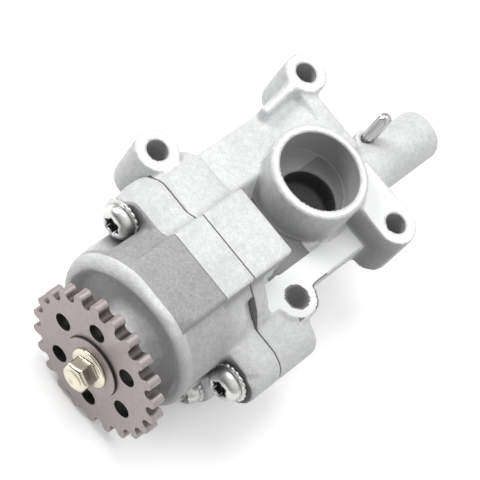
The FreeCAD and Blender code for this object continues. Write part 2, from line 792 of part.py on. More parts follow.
def make_sprocket_bolt():
    body = new_body("sprocket_bolt")
    turned(body, "flange_and_shank", [
        ("0", "bolt_flange_y - bolt_flange_thick - 0.8"),
        ("bolt_flange_radius - 2", "bolt_flange_y - bolt_flange_thick - 0.8"),
        ("bolt_flange_radius", "bolt_flange_y - bolt_flange_thick"),
        ("bolt_flange_radius", "bolt_flange_y"),
        ("bolt_shank", "bolt_flange_y"),
        ("bolt_shank", "bolt_flange_y + bolt_length - 1"),
        ("bolt_shank - 1", "bolt_flange_y + bolt_length"),
        ("0", "bolt_flange_y + bolt_length"),
    ])
    corner = "bolt_head_flats / 2 / cos(30)"
    front = "bolt_flange_y - bolt_flange_thick - bolt_head_height"
    hexagon = [("(%s) * cos(%d)" % (corner, 60 * i), "(%s) * sin(%d)" % (corner, 60 * i)) for i in range(6)]
    along_shaft(body, "head", front, "bolt_flange_y - bolt_flange_thick", draw_outline(hexagon))
    crown = sketch_on(body, "crown_sketch", "XY_Plane", "0")
    outline(crown, [
        ("bolt_head_flats / 2 - 0.2", front + " - 1"),
        ("(%s) + 1" % corner, front + " - 1"),
        ("(%s) + 1" % corner, front + " + 1.4"),
        ("bolt_head_flats / 2 - 0.2", front),
    ])
    groove = body.newObject("PartDesign::Groove", "crown")
    groove.Profile = crown
    groove.ReferenceAxis = (crown, ["V_Axis"])
    groove.Angle = 360.0
    doc.recompute()
    return body


def make_inner_rotor():
    """The star rotor: the envelope that the outer rotor's round lobes leave as both turn.

    Seen from the star, a lobe's centre runs along R e^(it) + e e^(i(N+1)t), and the tooth
    outline is that curve moved inward by the lobe's radius.
    """
    teeth = int(value("inner_teeth"))
    reach, shift, lobe = value("lobe_circle"), value("eccentricity"), value("lobe_radius")
    steps = 24 * teeth
    points = []
    for k in range(steps):
        t = 2 * math.pi * k / steps
        turn = (teeth + 1) * t
        x = reach * math.cos(t) + shift * math.cos(turn)
        z = reach * math.sin(t) + shift * math.sin(turn)
        dx = -reach * math.sin(t) - shift * (teeth + 1) * math.sin(turn)
        dz = reach * math.cos(t) + shift * (teeth + 1) * math.cos(turn)
        speed = math.hypot(dx, dz)
        px = x - lobe * dz / speed
        pz = z + lobe * dx / speed
        # The first tooth points to -Z, where the outer rotor's centre lies
        points.append(Vector(pz, 0, -px))
    points.append(points[0])
    arcs = [Part.Arc(*points[k:k + 3]).toShape() for k in range(0, steps, 2)]
    face = Part.Face(Part.Wire(arcs))
    width = value("chamber_depth - 2 * rotor_end_gap")
    front = value("chamber_front + rotor_end_gap")
    star = face.extrude(Vector(0, width, 0))
    bore = value("shaft_radius + slip_gap")
    star = star.cut(Part.makeCylinder(bore, width + 2, Vector(0, -1, 0), Vector(0, 1, 0)))
    slot_half = value("drive_pin_length / 2 + 0.2")
    slot_width = value("2 * drive_pin_radius + 0.1")
    slot_depth = value("2 * drive_pin_radius + 0.2")
    corner = Vector(-slot_half, -1, -slot_width / 2)
    star = star.cut(Part.makeBox(2 * slot_half, slot_depth + 1, slot_width, corner))
    rotor = doc.addObject("Part::Feature", "inner_rotor")
    rotor.Shape = star
    rotor.Placement = FreeCAD.Placement(Vector(0, front, 0), FreeCAD.Rotation())
    rotor.Label = "inner_rotor"
    return rotor


def make_outer_rotor():
    """The ring rotor: a bore for the star's tips, with one round lobe more than the star has."""
    start = "chamber_front + rotor_end_gap"
    length = "chamber_depth - 2 * rotor_end_gap"
    centre_z = "-eccentricity"
    ring_body = shaft_cylinder("rotor_disc", "rotor_radius", start, length, z=centre_z)
    tip = "lobe_circle + eccentricity - lobe_radius"
    hollow = "%s + eccentricity + tip_gap" % tip
    bore = shaft_cylinder("rotor_bore", hollow, start + " - 1", length + " + 2", z=centre_z)
    lobes = []
    count = int(value("inner_teeth")) + 1
    for k in range(count):
        angle = "%d * 360 / (inner_teeth + 1)" % k
        x = "lobe_circle * sin(%s)" % angle
        z = "-eccentricity - lobe_circle * cos(%s)" % angle
        name = "rotor_lobe_%d" % (k + 1)
        lobes.append(shaft_cylinder(name, "lobe_radius - tip_gap / 2", start + " - 2", length + " + 4", x, z))
    all_lobes = doc.addObject("Part::MultiFuse", "rotor_lobes")
    all_lobes.Shapes = lobes
    cavity = doc.addObject("Part::Cut", "rotor_cavity")
    cavity.Base = bore
    cavity.Tool = all_lobes
    rotor = doc.addObject("Part::Cut", "outer_rotor")
    rotor.Base = ring_body
    rotor.Tool = cavity
    rotor.Label = "outer_rotor"
    return rotor


def make_thrust_washer():
    inner = "shaft_radius + running_gap"
    return ring("thrust_washer", inner, "thrust_radius", "hub_rear", "thrust_thick")


def make_cover_screw(number, x, z, head):
    """A dome head screw with a six sided recess, its shank along the shaft's direction."""
    body = new_body("cover_screw_%d" % number)
    seat = "flange_front - washer_thick"
    top = "%s - screw_head_height" % seat
    turned(body, "screw", [
        ("0", top),
        (head + " * 0.6", top),
        (head + " * 0.9", top + " + 1.5"),
        (head, seat + " - screw_head_rim"),
        (head, seat),
        ("screw_shank", seat),
        ("screw_shank", "parting + screw_reach - 1"),
        ("0", "parting + screw_reach - 1"),
    ], x=x, z=z)
    hexagon = [(x + " + recess_radius * cos(%d)" % (60 * i), z + " + recess_radius * sin(%d)" % (60 * i))
               for i in range(6)]
    recess = draw_outline(hexagon)
    along_shaft(body, "recess", top + " - 1", top + " + recess_depth", recess, cut=True)
    return body


def make_cover_washer(number, x, z, radius):
    start = "flange_front - washer_thick"
    return ring("cover_washer_%d" % number, "screw_clear", radius, start, "washer_thick", x, z)


def make_dowel_pin(number, x, z):
    body = new_body("dowel_pin_%d" % number)
    half = "dowel_length / 2 - 0.3"
    turned(body, "dowel", [
        ("0", "parting - (%s)" % half),
        ("dowel_radius - 0.4", "parting - (%s)" % half),
        ("dowel_radius", "parting - (%s) + 0.4" % half),
        ("dowel_radius", "parting + (%s) - 0.4" % half),
        ("dowel_radius - 0.4", "parting + (%s)" % half),
        ("0", "parting + (%s)" % half),
    ], x=x, z=z)
    return body


def make_outlet_seal():
    """The seal ring round the outlet, of an eight sided section that stands a little proud."""
    body = new_body("outlet_seal")
    sketch = sketch_on(body, "seal_sketch", "XZ_Plane", "0")
    middle = "(seal_inner + seal_outer) / 2"
    corners = []
    for k in range(8):
        x = "%s + seal_section * cos(%d + 22.5)" % (middle, 45 * k)
        z = "seal_depth - seal_section + seal_section * sin(%d + 22.5)" % (45 * k)
        corners.append((x, z))
    outline(sketch, corners)
    seal = body.newObject("PartDesign::Revolution", "seal")
    seal.Profile = sketch
    seal.ReferenceAxis = (sketch, ["V_Axis"])
    seal.Angle = 360.0
    doc.recompute()
    return body


def make_relief_piston():
    body = new_body("relief_piston")
    outside = "relief_bore - piston_gap"
    rear = "piston_front + piston_length"
    turned(body, "cup", [
        ("0", "piston_front"),
        (outside + " - 1.2", "piston_front"),
        (outside, "piston_front + 1.2"),
        (outside, rear),
        ("piston_cup", rear),
        ("piston_cup", "piston_front + piston_crown"),
        ("0", "piston_front + piston_crown"),
    ], x="relief_x", z="relief_z")
    return body




def make_relief_spring():
    """A coil of round wire between the piston's crown and the plug."""
    pitch = value("(spring_rear - spring_front) / spring_turns")
    path = doc.addObject("Part::Helix", "spring_path")
    set_size(path, Radius="spring_radius")
    path.setExpression("Pitch", bind("(spring_rear - spring_front) / spring_turns"))
    path.setExpression("Height", bind("spring_rear - spring_front"))
    doc.recompute()
    wire = doc.addObject("Part::RegularPolygon", "spring_section")
    wire.Polygon = 6
    set_size(wire, Circumradius="spring_wire")
    lead = math.degrees(math.atan2(pitch, 2 * math.pi * value("spring_radius")))
    turn = FreeCAD.Rotation(Vector(1, 0, 0), 90 + lead)
    wire.Placement = FreeCAD.Placement(Vector(value("spring_radius"), 0, 0), turn)
    doc.recompute()
    spring = doc.addObject("Part::Sweep", "relief_spring")
    spring.Sections = [wire]
    spring.Spine = (path, ["Edge%d" % (i + 1) for i in range(len(path.Shape.Edges))])
    spring.Solid = True
    spring.Frenet = True
    spring.Placement = FreeCAD.Placement(Vector(), FreeCAD.Rotation(Vector(1, 0, 0), -90))
    place(spring, "relief_x", "spring_front", "relief_z")
    spring.Label = "relief_spring"
    return spring


def make_relief_plug():
    body = new_body("relief_plug")
    rear = "tube_rear - plug_sunk"
    seat = "plug_front + seal_ring_thick"
    turned(body, "plug", [
        ("0", seat),
        ("plug_bore - slip_gap - 0.5", seat),
        ("plug_bore - slip_gap", seat + " + 0.5"),
        ("plug_bore - slip_gap", rear + " - 0.8"),
        ("plug_bore - slip_gap - 0.8", rear),
        ("0", rear),
    ], x="relief_x", z="relief_z")
    corner = "plug_hex / 2 / cos(30)"
    hexagon = []
    for i in range(6):
        x = "relief_x + %s * cos(%d)" % (corner, 60 * i)
        z = "relief_z + %s * sin(%d)" % (corner, 60 * i)
        hexagon.append((x, z))
    along_shaft(body, "hex_socket", rear + " - 5", rear, draw_outline(hexagon), cut=True)
    return body


def make_relief_seal():
    inner, outer = "plug_spigot + 2.2", "plug_bore - slip_gap"
    start, length = "plug_front", "seal_ring_thick - 0.02"
    return ring("relief_seal_washer", inner, outer, start, length, "relief_x", "relief_z")


def make_retaining_pin():
    """The grooved pin that stands upright in a boss beside the relief tube."""
    body = new_body("retaining_pin")
    upright(body, "pin", "pin_low", "pin_top", draw_circle("pin_x", "pin_y", "pin_radius"))
    top, radius = value("pin_top"), value("pin_radius")
    at_top = lambda edge: level_circle(edge, "z", top, radius)
    round_edges(body, "point", "pin_radius / 4", at_top, chamfer=True)
    for k in range(4):
        start = "pin_boss_top + 1.2 + %d * pin_groove_pitch" % k
        upright(body, "groove_%d" % k, start, start + " + pin_groove_pitch / 3", draw_pin_groove, cut=True)
    return body


def draw_pin_groove(sketch):
    circle(sketch, "pin_x", "pin_y", "pin_radius + 1")
    circle(sketch, "pin_x", "pin_y", "pin_radius - pin_groove")


parts = [make_pump_body(), make_front_cover()]
parts += make_bushes()
for number, (x, z, _, kind) in SCREWS.items():
    parts.append(make_cover_screw(number, x, z, kind + "head_radius" if kind else "screw_head_radius"))
    parts.append(make_cover_washer(number, x, z, kind + "washer_radius"))
for number, (x, z) in DOWELS.items():
    parts.append(make_dowel_pin(number, x, z))
parts += [make_outlet_seal(), make_relief_plug(), make_relief_seal(), make_retaining_pin()]
parts += [make_drive_shaft(), make_sprocket(), make_sprocket_bolt(), make_sprocket_key()]
parts += [make_inner_rotor(), make_drive_pin(), make_thrust_washer(), make_outer_rotor()]
parts += [make_relief_piston(), make_relief_spring()]
doc.recompute()

for item in doc.Objects:
    if "Invalid" in item.State or "Error" in item.State:
        raise RuntimeError("%s did not build: %s" % (item.Name, item.State))
for part in parts:
    shape = part.Shape
    if shape.isNull() or not shape.isValid() or shape.Volume <= 0:
        raise RuntimeError(part.Label + " has no valid solid")
    if len(shape.Solids) != 1:
        raise RuntimeError("%s has %d solids" % (part.Label, len(shape.Solids)))
for part in parts:
    part.Shape.exportStep("parts/%s.step" % part.Label)
    print("%-20s %10.1f mm3" % (part.Label, part.Shape.Volume))
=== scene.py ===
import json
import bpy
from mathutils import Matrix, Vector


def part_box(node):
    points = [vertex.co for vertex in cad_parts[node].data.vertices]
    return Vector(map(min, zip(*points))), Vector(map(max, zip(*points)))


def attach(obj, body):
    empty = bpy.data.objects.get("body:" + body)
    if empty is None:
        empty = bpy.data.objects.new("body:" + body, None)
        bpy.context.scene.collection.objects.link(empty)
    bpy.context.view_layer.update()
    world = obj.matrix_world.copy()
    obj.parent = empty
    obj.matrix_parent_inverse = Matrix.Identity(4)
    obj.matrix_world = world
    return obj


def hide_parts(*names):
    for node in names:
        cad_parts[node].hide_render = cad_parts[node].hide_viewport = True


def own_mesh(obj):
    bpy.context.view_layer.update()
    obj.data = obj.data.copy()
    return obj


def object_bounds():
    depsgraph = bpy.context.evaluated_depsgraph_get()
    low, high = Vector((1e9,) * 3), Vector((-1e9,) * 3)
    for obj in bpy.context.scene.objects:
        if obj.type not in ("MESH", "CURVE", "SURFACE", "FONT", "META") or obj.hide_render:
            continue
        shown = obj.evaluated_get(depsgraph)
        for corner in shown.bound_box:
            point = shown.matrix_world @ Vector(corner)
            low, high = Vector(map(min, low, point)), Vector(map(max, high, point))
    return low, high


bl_info = {
    "name": "Engine oil pump",
    "version": (1, 0, 0),
    "blender": (4, 5, 0),
    "location": "View3D > Sidebar > Oil pump",
    "description": "Dresses the oil pump's solids as a die cast, machined and plated assembly",
    "category": "Add Mesh",
}

import bmesh
import bpy
import numpy as np
from mathutils import Matrix, Vector

MM = 0.001
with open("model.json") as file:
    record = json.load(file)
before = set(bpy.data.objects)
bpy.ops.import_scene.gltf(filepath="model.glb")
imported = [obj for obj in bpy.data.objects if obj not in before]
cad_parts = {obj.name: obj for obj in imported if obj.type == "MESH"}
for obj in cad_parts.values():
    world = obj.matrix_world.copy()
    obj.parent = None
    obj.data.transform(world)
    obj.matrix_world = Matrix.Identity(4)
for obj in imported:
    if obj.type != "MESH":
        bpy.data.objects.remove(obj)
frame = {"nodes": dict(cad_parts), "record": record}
CAD_BOX = [list(corner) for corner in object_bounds()]
NODES = frame["nodes"]
MOUNTS = {mount["name"]: mount for mount in frame["record"]["mounts"]}
HOLES = [mount for name, mount in MOUNTS.items() if name.startswith("mounting_hole")]
INLET = MOUNTS["oil_inlet"]["pos_m"]
INLET_RADIUS = MOUNTS["oil_inlet"]["dims"]["r_mm"] * MM

# Places on the front cover, measured from its box
COVER_LOW, COVER_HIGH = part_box("front_cover")
JOINT_Y = COVER_HIGH[1]
DRUM_FRONT = COVER_LOW[1] + 3 * MM
DRUM_X = -3.4 * MM
DRUM_RADIUS = 31 * MM
RIM_ROUND = 3 * MM
BEAD = 2.6 * MM
BEAD_EXTRA = 2.0 * MM
RIM_TOP = 29.7 * MM
DISH_EDGE = 27 * MM
DISH_DEPTH = 4.5 * MM
BOSS_RADIUS = 12 * MM
RAMP_REAR = JOINT_Y - 14 * MM
RIDGE = (-17.5 * MM, 12.5 * MM)
RIDGE_TOP = COVER_HIGH[2]
UPPER_SCREWS = (1, 2)

# Outer sizes of what stands on the body
POST_RADIUS = 10 * MM
COLLAR_RADIUS = 20.5 * MM

# How far from a bore's wall or rim a point is set on it
BORE_REACH = 0.45 * MM

# Places on the sprocket
HUB_RADIUS = 12 * MM
HOLE_CIRCLE = 18.1 * MM
HOLE_RADIUS = 3.5 * MM
HOLE_START = -10.5
TOOTH = 6 * MM

# How fast the turning marks on the sprocket's face follow each other, in radians a metre
TURNING = 9000.0

# How round the edges of the steel pieces look
EDGE_ROUND = 0.3 * MM

# How bright the floor is to the camera, in a glossy surface and in the light it gives back
FLOOR_SEEN = 1.3
FLOOR_GLOSS = 1.15
FLOOR_RETURNED = 0.35

# Places and directions on the stage
KEY_PLACE = (-0.85, -0.18, 0.52)
TOP_PLACE = (-0.30, 0.15, 0.90)
CAMERA_PLACE = (0.0590, -0.3649, 0.5527)
CAMERA_RIGHT = (0.630, 0.679, 0.377)
CAMERA_BACK = (0.097, -0.551, 0.829)


# Numbers and colours in shaders


class Field:
    """A shader socket's number, which adds Math nodes when it is calculated with."""

    def __init__(self, tree, socket):
        self.tree = tree
        self.socket = socket

    def math(self, operation, *items):
        node = self.tree.nodes.new("ShaderNodeMath")
        node.operation = operation
        for plug, item in zip(node.inputs, items):
            if isinstance(item, Field):
                self.tree.links.new(item.socket, plug)
            else:
                plug.default_value = item
        return Field(self.tree, node.outputs[0])

    def __add__(self, other):
        return self.math("ADD", self, other)

    def __sub__(self, other):
        return self.math("SUBTRACT", self, other)

    def __rsub__(self, other):
        return self.math("SUBTRACT", other, self)

    def __mul__(self, other):
        return self.math("MULTIPLY", self, other)

    def __truediv__(self, other):
        return self.math("DIVIDE", self, other)

    def __gt__(self, other):
        return self.math("GREATER_THAN", self, other)

    def __lt__(self, other):
        return self.math("LESS_THAN", self, other)

    __radd__ = __add__
    __rmul__ = __mul__

    def near(self, level, width):
        """1 within the width of the level and 0 elsewhere."""
        return self.math("COMPARE", self, level, width)

    def root(self):
        return self.math("SQRT", self)

    def sine(self):
        return self.math("SINE", self)

    def limit(self):
        """The number held between 0 and 1."""
        return self.math("MINIMUM", self.math("MAXIMUM", self, 0.0), 1.0)


class Finish:
    """One material: a Principled shader and the nodes that feed it."""

    def __init__(self, name):
        self.material = bpy.data.materials.new(name)
        self.material.use_nodes = True
        self.tree = self.material.node_tree
        self.shader = self.tree.nodes["Principled BSDF"]

    def node(self, kind, settings=None, inputs=None):
        """Adds a node, sets what it is set to first, and then the values or links of its sockets."""
        node = self.tree.nodes.new(kind)
        for name, item in (settings or {}).items():
            setattr(node, name, item)
        for name, item in (inputs or {}).items():
            if isinstance(item, Field):
                self.tree.links.new(item.socket, node.inputs[name])
            elif isinstance(item, bpy.types.NodeSocket):
                self.tree.links.new(item, node.inputs[name])
            else:
                node.inputs[name].default_value = item
        return node

    def field(self, node, output=0):
        return Field(self.tree, node.outputs[output])

    def place(self):
        """Object coordinates as three numbers in metres."""
        spot = self.node("ShaderNodeTexCoord").outputs["Object"]
        split = self.node("ShaderNodeSeparateXYZ", None, {"Vector": spot})
        return [self.field(split, k) for k in range(3)]

    def facing(self):
        """The surface's own direction as three numbers."""
        way = self.node("ShaderNodeTexCoord").outputs["Normal"]
        split = self.node("ShaderNodeSeparateXYZ", None, {"Vector": way})
        return [self.field(split, k) for k in range(3)]

    def noise(self, scale, detail=2.0, roughness=0.5):
        """Seedless noise from 0 to 1; scale is in features per metre."""
        spot = self.node("ShaderNodeTexCoord").outputs["Object"]
        sockets = {"Vector": spot, "Scale": scale, "Detail": detail, "Roughness": roughness}
        return self.field(self.node("ShaderNodeTexNoise", None, sockets))

    def blend(self, mask, first, second):
        """The first colour where the mask is 0 and the second where it is 1."""
        mix = self.node("ShaderNodeMix", {"data_type": "RGBA"})
        for plug, item in ((0, mask), (6, first), (7, second)):
            if isinstance(item, Field):
                self.tree.links.new(item.socket, mix.inputs[plug])
            elif isinstance(item, bpy.types.NodeSocket):
                self.tree.links.new(item, mix.inputs[plug])
            elif plug == 0:
                mix.inputs[plug].default_value = item
            else:
                mix.inputs[plug].default_value = (*item[:3], 1.0)
        return mix.outputs[2]

    def feed(self, name, item):
        plug = self.shader.inputs[name]
        if isinstance(item, Field):
            self.tree.links.new(item.socket, plug)
        elif isinstance(item, bpy.types.NodeSocket):
            self.tree.links.new(item, plug)
        elif name == "Base Color":
            plug.default_value = (*item[:3], 1.0)
        else:
            plug.default_value = item

    def relief(self, height, distance, strength=1.0, rounding=0.0):
        """Bumps of the height field, over edges that look rounded by the radius given."""
        sockets = {"Height": height, "Distance": distance, "Strength": strength}
        if rounding:
            bevel = self.node("ShaderNodeBevel", {"samples": 6}, {"Radius": rounding})
            sockets["Normal"] = bevel.outputs[0]
        bump = self.node("ShaderNodeBump", None, sockets)
        self.feed("Normal", bump.outputs[0])


def ring_distance(x, y, centre):
    """The distance from a line through the centre, in the two coordinates given."""
    return ((x - centre[0]) * (x - centre[0]) + (y - centre[1]) * (y - centre[1])).root()


# Surfaces


def grid_faces(rows, columns, wrap):
    """Four sided faces between neighbouring points of a grid, the columns closed if wrap."""
    count = columns if wrap else columns - 1
    row, column = np.meshgrid(np.arange(rows - 1), np.arange(count), indexing="ij")
    following = (column + 1) % columns
    first = row * columns + column
    second = row * columns + following
    return np.stack([first, second, second + columns, first + columns], axis=-1).reshape(-1, 4)


def new_piece(name, points, faces, smooth=True):
    """A mesh object at the origin with its place in its mesh."""
    mesh = bpy.data.meshes.new(name)
    mesh.from_pydata(points.tolist(), [], [list(face) for face in faces.tolist()])
    mesh.validate()
    mesh.update()
    piece = bpy.data.objects.new(name, mesh)
    bpy.context.scene.collection.objects.link(piece)
    mesh.polygons.foreach_set("use_smooth", np.full(len(mesh.polygons), smooth))
    return piece


def close_and_orient(piece):
    """Merges doubled points at the poles and seams and turns every face outwards."""
    work = bmesh.new()
    work.from_mesh(piece.data)
    bmesh.ops.remove_doubles(work, verts=work.verts, dist=1e-7)
    bmesh.ops.dissolve_degenerate(work, edges=work.edges, dist=1e-8)
    bmesh.ops.recalc_face_normals(work, faces=work.faces)
    work.to_mesh(piece.data)
    work.free()
    return piece


def turned(name, profile, centre, shape=None, turns=96):
    """A profile of (radius, y) points turned about the line along Y through the centre.

    Point (i, j) is (r cos t, y, r sin t) with t = 2 pi j / turns and r the profile's radius,
    changed by shape(i, t, r) where a piece isn't round.
    """
    profile = np.asarray(profile, dtype=float)
    angle = np.linspace(0.0, 2.0 * np.pi, turns, endpoint=False)
    rows = len(profile)
    radius = np.repeat(profile[:, :1], turns, axis=1)
    if shape is not None:
        radius = shape(np.arange(rows)[:, None], angle[None, :], radius)
    x = centre[0] + radius * np.cos(angle)
    z = centre[2] + radius * np.sin(angle)
    y = np.repeat(profile[:, 1:], turns, axis=1) + centre[1]
    points = np.stack([x, y, z], axis=-1).reshape(-1, 3)
    return close_and_orient(new_piece(name, points, grid_faces(rows, turns, True)))


def dress(piece, body, node, finish, smooth_angle=None):
    """The piece rides on the body, stands for the node and takes the finish given."""
    piece.data.materials.clear()
    piece.data.materials.append(finish)
    if smooth_angle is not None:
        sharpen(piece, smooth_angle)
    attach(piece, body)
    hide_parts(node)
    return piece


def sharpen(piece, degrees):
    """Marks the edges that turn by more than the angle as sharp."""
    with bpy.context.temp_override(object=piece, active_object=piece, selected_objects=[piece]):
        bpy.ops.object.shade_smooth_by_angle(angle=np.radians(degrees), keep_sharp_edges=True)


def joined(piece, *others):
    """Adds the other pieces' surfaces to the piece's mesh and removes them."""
    work = bmesh.new()
    work.from_mesh(piece.data)
    for other in others:
        work.from_mesh(other.data)
        bpy.data.objects.remove(other)
    work.to_mesh(piece.data)
    work.free()


def remeshed(piece, cell):
    """The piece's surface remade of even cells."""
    remesh = piece.modifiers.new("cells", "REMESH")
    remesh.mode = "VOXEL"
    remesh.voxel_size = cell
    bpy.context.view_layer.update()
    evaluated = piece.evaluated_get(bpy.context.evaluated_depsgraph_get())
    mesh = bpy.data.meshes.new_from_object(evaluated)
    piece.modifiers.clear()
    return mesh


def mesh_points(mesh):
    """The mesh's points as rows of x, y and z."""
    points = np.empty(len(mesh.vertices) * 3)
    mesh.vertices.foreach_get("co", points)
    return points.reshape(-1, 3)


def relaxed(points, mesh, weight, passes):
    """The points after smoothing passes along the mesh's edges.

    Each pass moves every point p by w / 2 times (mean of its neighbours - p).
    """
    count = len(points)
    ends = np.empty(len(mesh.edges) * 2, dtype=np.int64)
    mesh.edges.foreach_get("vertices", ends)
    first, second = ends.reshape(-1, 2).T
    links = np.bincount(np.concatenate([first, second]), minlength=count)[:, None]
    half = weight[:, None] / 2.0
    for _ in range(passes):
        total = np.empty_like(points)
        for axis in range(3):
            total[:, axis] = np.bincount(first, points[second, axis], minlength=count)
            total[:, axis] += np.bincount(second, points[first, axis], minlength=count)
        points = points + half * (total / np.maximum(links, 1) - points)
    return points


def softened_copy(node, name, cell, passes, crisp, trim=None, settle=None, additions=()):
    """A copy of a solid remeshed to even cells and smoothed into cast roundings.

    The smoothing's weight is 1 on the cast skin and falls near machined edges, as crisp says.
    Additions grow into the piece. The trim moves points before the smoothing and settle after
    it, where there is one.
    """
    piece = bpy.data.objects.new(name, NODES[node].data.copy())
    bpy.context.scene.collection.objects.link(piece)
    close_and_orient(piece)
    joined(piece, *additions)
    mesh = remeshed(piece, cell)
    piece.data = mesh
    mesh.name = name
    points = mesh_points(mesh)
    if trim is not None:
        points = trim(points)
    points = relaxed(points, mesh, crisp(points), passes)
    if settle is not None:
        points = settle(points)
    mesh.vertices.foreach_set("co", points.ravel())
    mesh.polygons.foreach_set("use_smooth", np.ones(len(mesh.polygons), dtype=bool))
    mesh.update()
    return piece


# Sizes and colours


class PumpCasting(bpy.types.PropertyGroup):
    colour: bpy.props.FloatVectorProperty(
        name="Cast skin", description="Colour of the die cast aluminium skin",
        subtype="COLOR", size=3, default=(0.77, 0.775, 0.78), min=0.0, max=1.0)
    machined: bpy.props.FloatVectorProperty(
        name="Machined face", description="Colour of the milled and bored faces",
        subtype="COLOR", size=3, default=(0.88, 0.885, 0.89), min=0.0, max=1.0)
    # Inlet wall: grey of the painted shade inside the inlet's bore
    inside: bpy.props.FloatVectorProperty(
        name="Inlet wall", description="Colour of the stained wall inside the inlet",
        subtype="COLOR", size=3, default=(0.42, 0.42, 0.42), min=0.0, max=1.0)
    # Bolt holes: grey of the painted shade on the mounting holes' walls
    hole_shade: bpy.props.FloatVectorProperty(
        name="Bolt holes", description="Colour of the walls of the mounting holes",
        subtype="COLOR", size=3, default=(0.42, 0.42, 0.42), min=0.0, max=1.0)
    # Ramp: grey of the painted shade on the ridge's ramp, the drum's right flank and the right of the
    # bead
    ramp: bpy.props.FloatVectorProperty(
        name="Ramp", description="Colour of the duller ramp at the front of the ridge",
        subtype="COLOR", size=3, default=(0.41, 0.41, 0.41), min=0.0, max=1.0)
    cell: bpy.props.FloatProperty(
        name="Cell", description="Size of the even cells that the castings are remade of",
        unit="LENGTH", default=0.8 * MM, min=0.5 * MM, max=2.0 * MM)
    passes: bpy.props.IntProperty(
        name="Passes", description="How often the cast edges are smoothed",
        default=9, min=0, max=60)
    grain: bpy.props.FloatProperty(
        name="Grain", description="Height of the cast skin's grain",
        unit="LENGTH", default=0.16 * MM, min=0.0, max=1.0 * MM)


class PumpDrive(bpy.types.PropertyGroup):
    colour: bpy.props.FloatVectorProperty(
        name="Sprocket", description="Colour of the sprocket's steel",
        subtype="COLOR", size=3, default=(0.42, 0.375, 0.37), min=0.0, max=1.0)
    bolt_colour: bpy.props.FloatVectorProperty(
        name="Bolt", description="Colour of the bolt's yellow zinc",
        subtype="COLOR", size=3, default=(0.74, 0.69, 0.56), min=0.0, max=1.0)
    flats: bpy.props.FloatProperty(
        name="Across flats", description="Width of the bolt's hexagon",
        unit="LENGTH", default=10.6 * MM, min=4.0 * MM, max=30.0 * MM)


class PumpFasteners(bpy.types.PropertyGroup):
    colour: bpy.props.FloatVectorProperty(
        name="Zinc", description="Colour of the clear zinc on screws, plug and pin",
        subtype="COLOR", size=3, default=(0.70, 0.70, 0.69), min=0.0, max=1.0)
    serrations: bpy.props.IntProperty(
        name="Serrations", description="Number of teeth round each screw's washer",
        default=20, min=0, max=60)


class PumpStage(bpy.types.PropertyGroup):
    key: bpy.props.FloatProperty(
        name="Key light", description="Strength of the large light from the left",
        subtype="POWER", default=5.6, min=0.0, max=200.0)
    top: bpy.props.FloatProperty(
        name="Top light", description="Strength of the light from above",
        subtype="POWER", default=2.4, min=0.0, max=200.0)
    room: bpy.props.FloatProperty(
        name="Room light", description="Strength of the even light from all round",
        default=0.10, min=0.0, max=2.0)
    sky: bpy.props.FloatProperty(
        name="Sky light", description="Strength of the soft light from the bright side",
        default=1.04, min=0.0, max=5.0)
    side: bpy.props.FloatVectorProperty(
        name="Bright side", description="Direction of the bright side of the room",
        size=3, default=(0.32, 0.34, 0.88))


# Finishes


def shades(colour, share):
    """The colour at the share of its strength."""
    return [part * share for part in colour]


def fade(distance, length):
    """0 where the distance is nothing or less, 1 from the length on, and even in between."""
    return (distance / length).limit()


def milled_mask(y, z, up):
    """The milled tops of the posts, the gallery bar and the inlet, behind the joint."""
    levels = {round(mount["pos_m"][2], 4) for mount in HOLES + [MOUNTS["oil_inlet"]]}
    milled = up * 0.0
    for level in sorted(levels):
        milled = milled + z.near(level, 0.12 * MM)
    return (milled * (up > 0.985) * (y > JOINT_Y)).limit()


def hole_shade_mask(x, y, z):
    """Painted shade on the walls of the mounting holes."""
    hole_shade = x * 0.0
    for mount in HOLES:
        wall = mount["dims"]["r_mm"] * MM + 0.4 * MM
        top = mount["pos_m"][2] - 0.7 * MM
        hole_shade = hole_shade + (ring_distance(x, y, mount["pos_m"]) < wall) * (z < top)
    return hole_shade.limit()


def ramp_shade_mask(x, y, z, up):
    """Painted shade on the ramp from the drum's bead to the ridge's rear line."""
    ahead = (y < RAMP_REAR) * (y > DRUM_FRONT + 4 * MM) * (x < RIDGE[1])
    outside = ring_distance(x, z, (DRUM_X, 0.0)) > DRUM_RADIUS - 7 * MM
    return ahead * outside * (up > -0.3) * fade(z - 4 * MM, 8 * MM)


def flank_shade_mask(x, y, z):
    """Painted shade on the drum's right flank below the ramp."""
    rear = RAMP_REAR + 6 * MM
    flank = (x > RIDGE[1]) * (y > DRUM_FRONT + 2 * BEAD) * (y < rear)
    return flank * fade(z + 14 * MM, 26 * MM) * fade(rear - y, 8 * MM)


def screw_shade(x, y, z):
    """The shade round the heads of the two upper screws, gone 9 mm ahead of their seats."""
    shade = x * 0.0
    for number in UPPER_SCREWS:
        low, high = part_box("cover_washer_%d" % number)
        middle = ((low[0] + high[0]) / 2, (low[2] + high[2]) / 2)
        reach = (high[0] - low[0]) / 2 + 4.2 * MM
        near = fade(reach - ring_distance(x, z, middle), 3.5 * MM) * (y < high[1] + 0.5 * MM)
        shade = shade + near * fade(y - (high[1] - 9 * MM), 6 * MM)
    return shade.limit()


def seam_mask(x, y, z, up):
    """The joint between the castings, and the line at the ramp's rear."""
    across = (x > RIDGE[0]) * (x < RIDGE[1]) * (up > 0.5) * (z > RIDGE_TOP - 3 * MM)
    beside_post = ring_distance(x, y, MOUNTS["mounting_hole_a"]["pos_m"]) > 9.2 * MM
    seam = y.near(JOINT_Y, 0.28 * MM) * beside_post + y.near(RAMP_REAR, 0.22 * MM) * across
    return seam.limit()


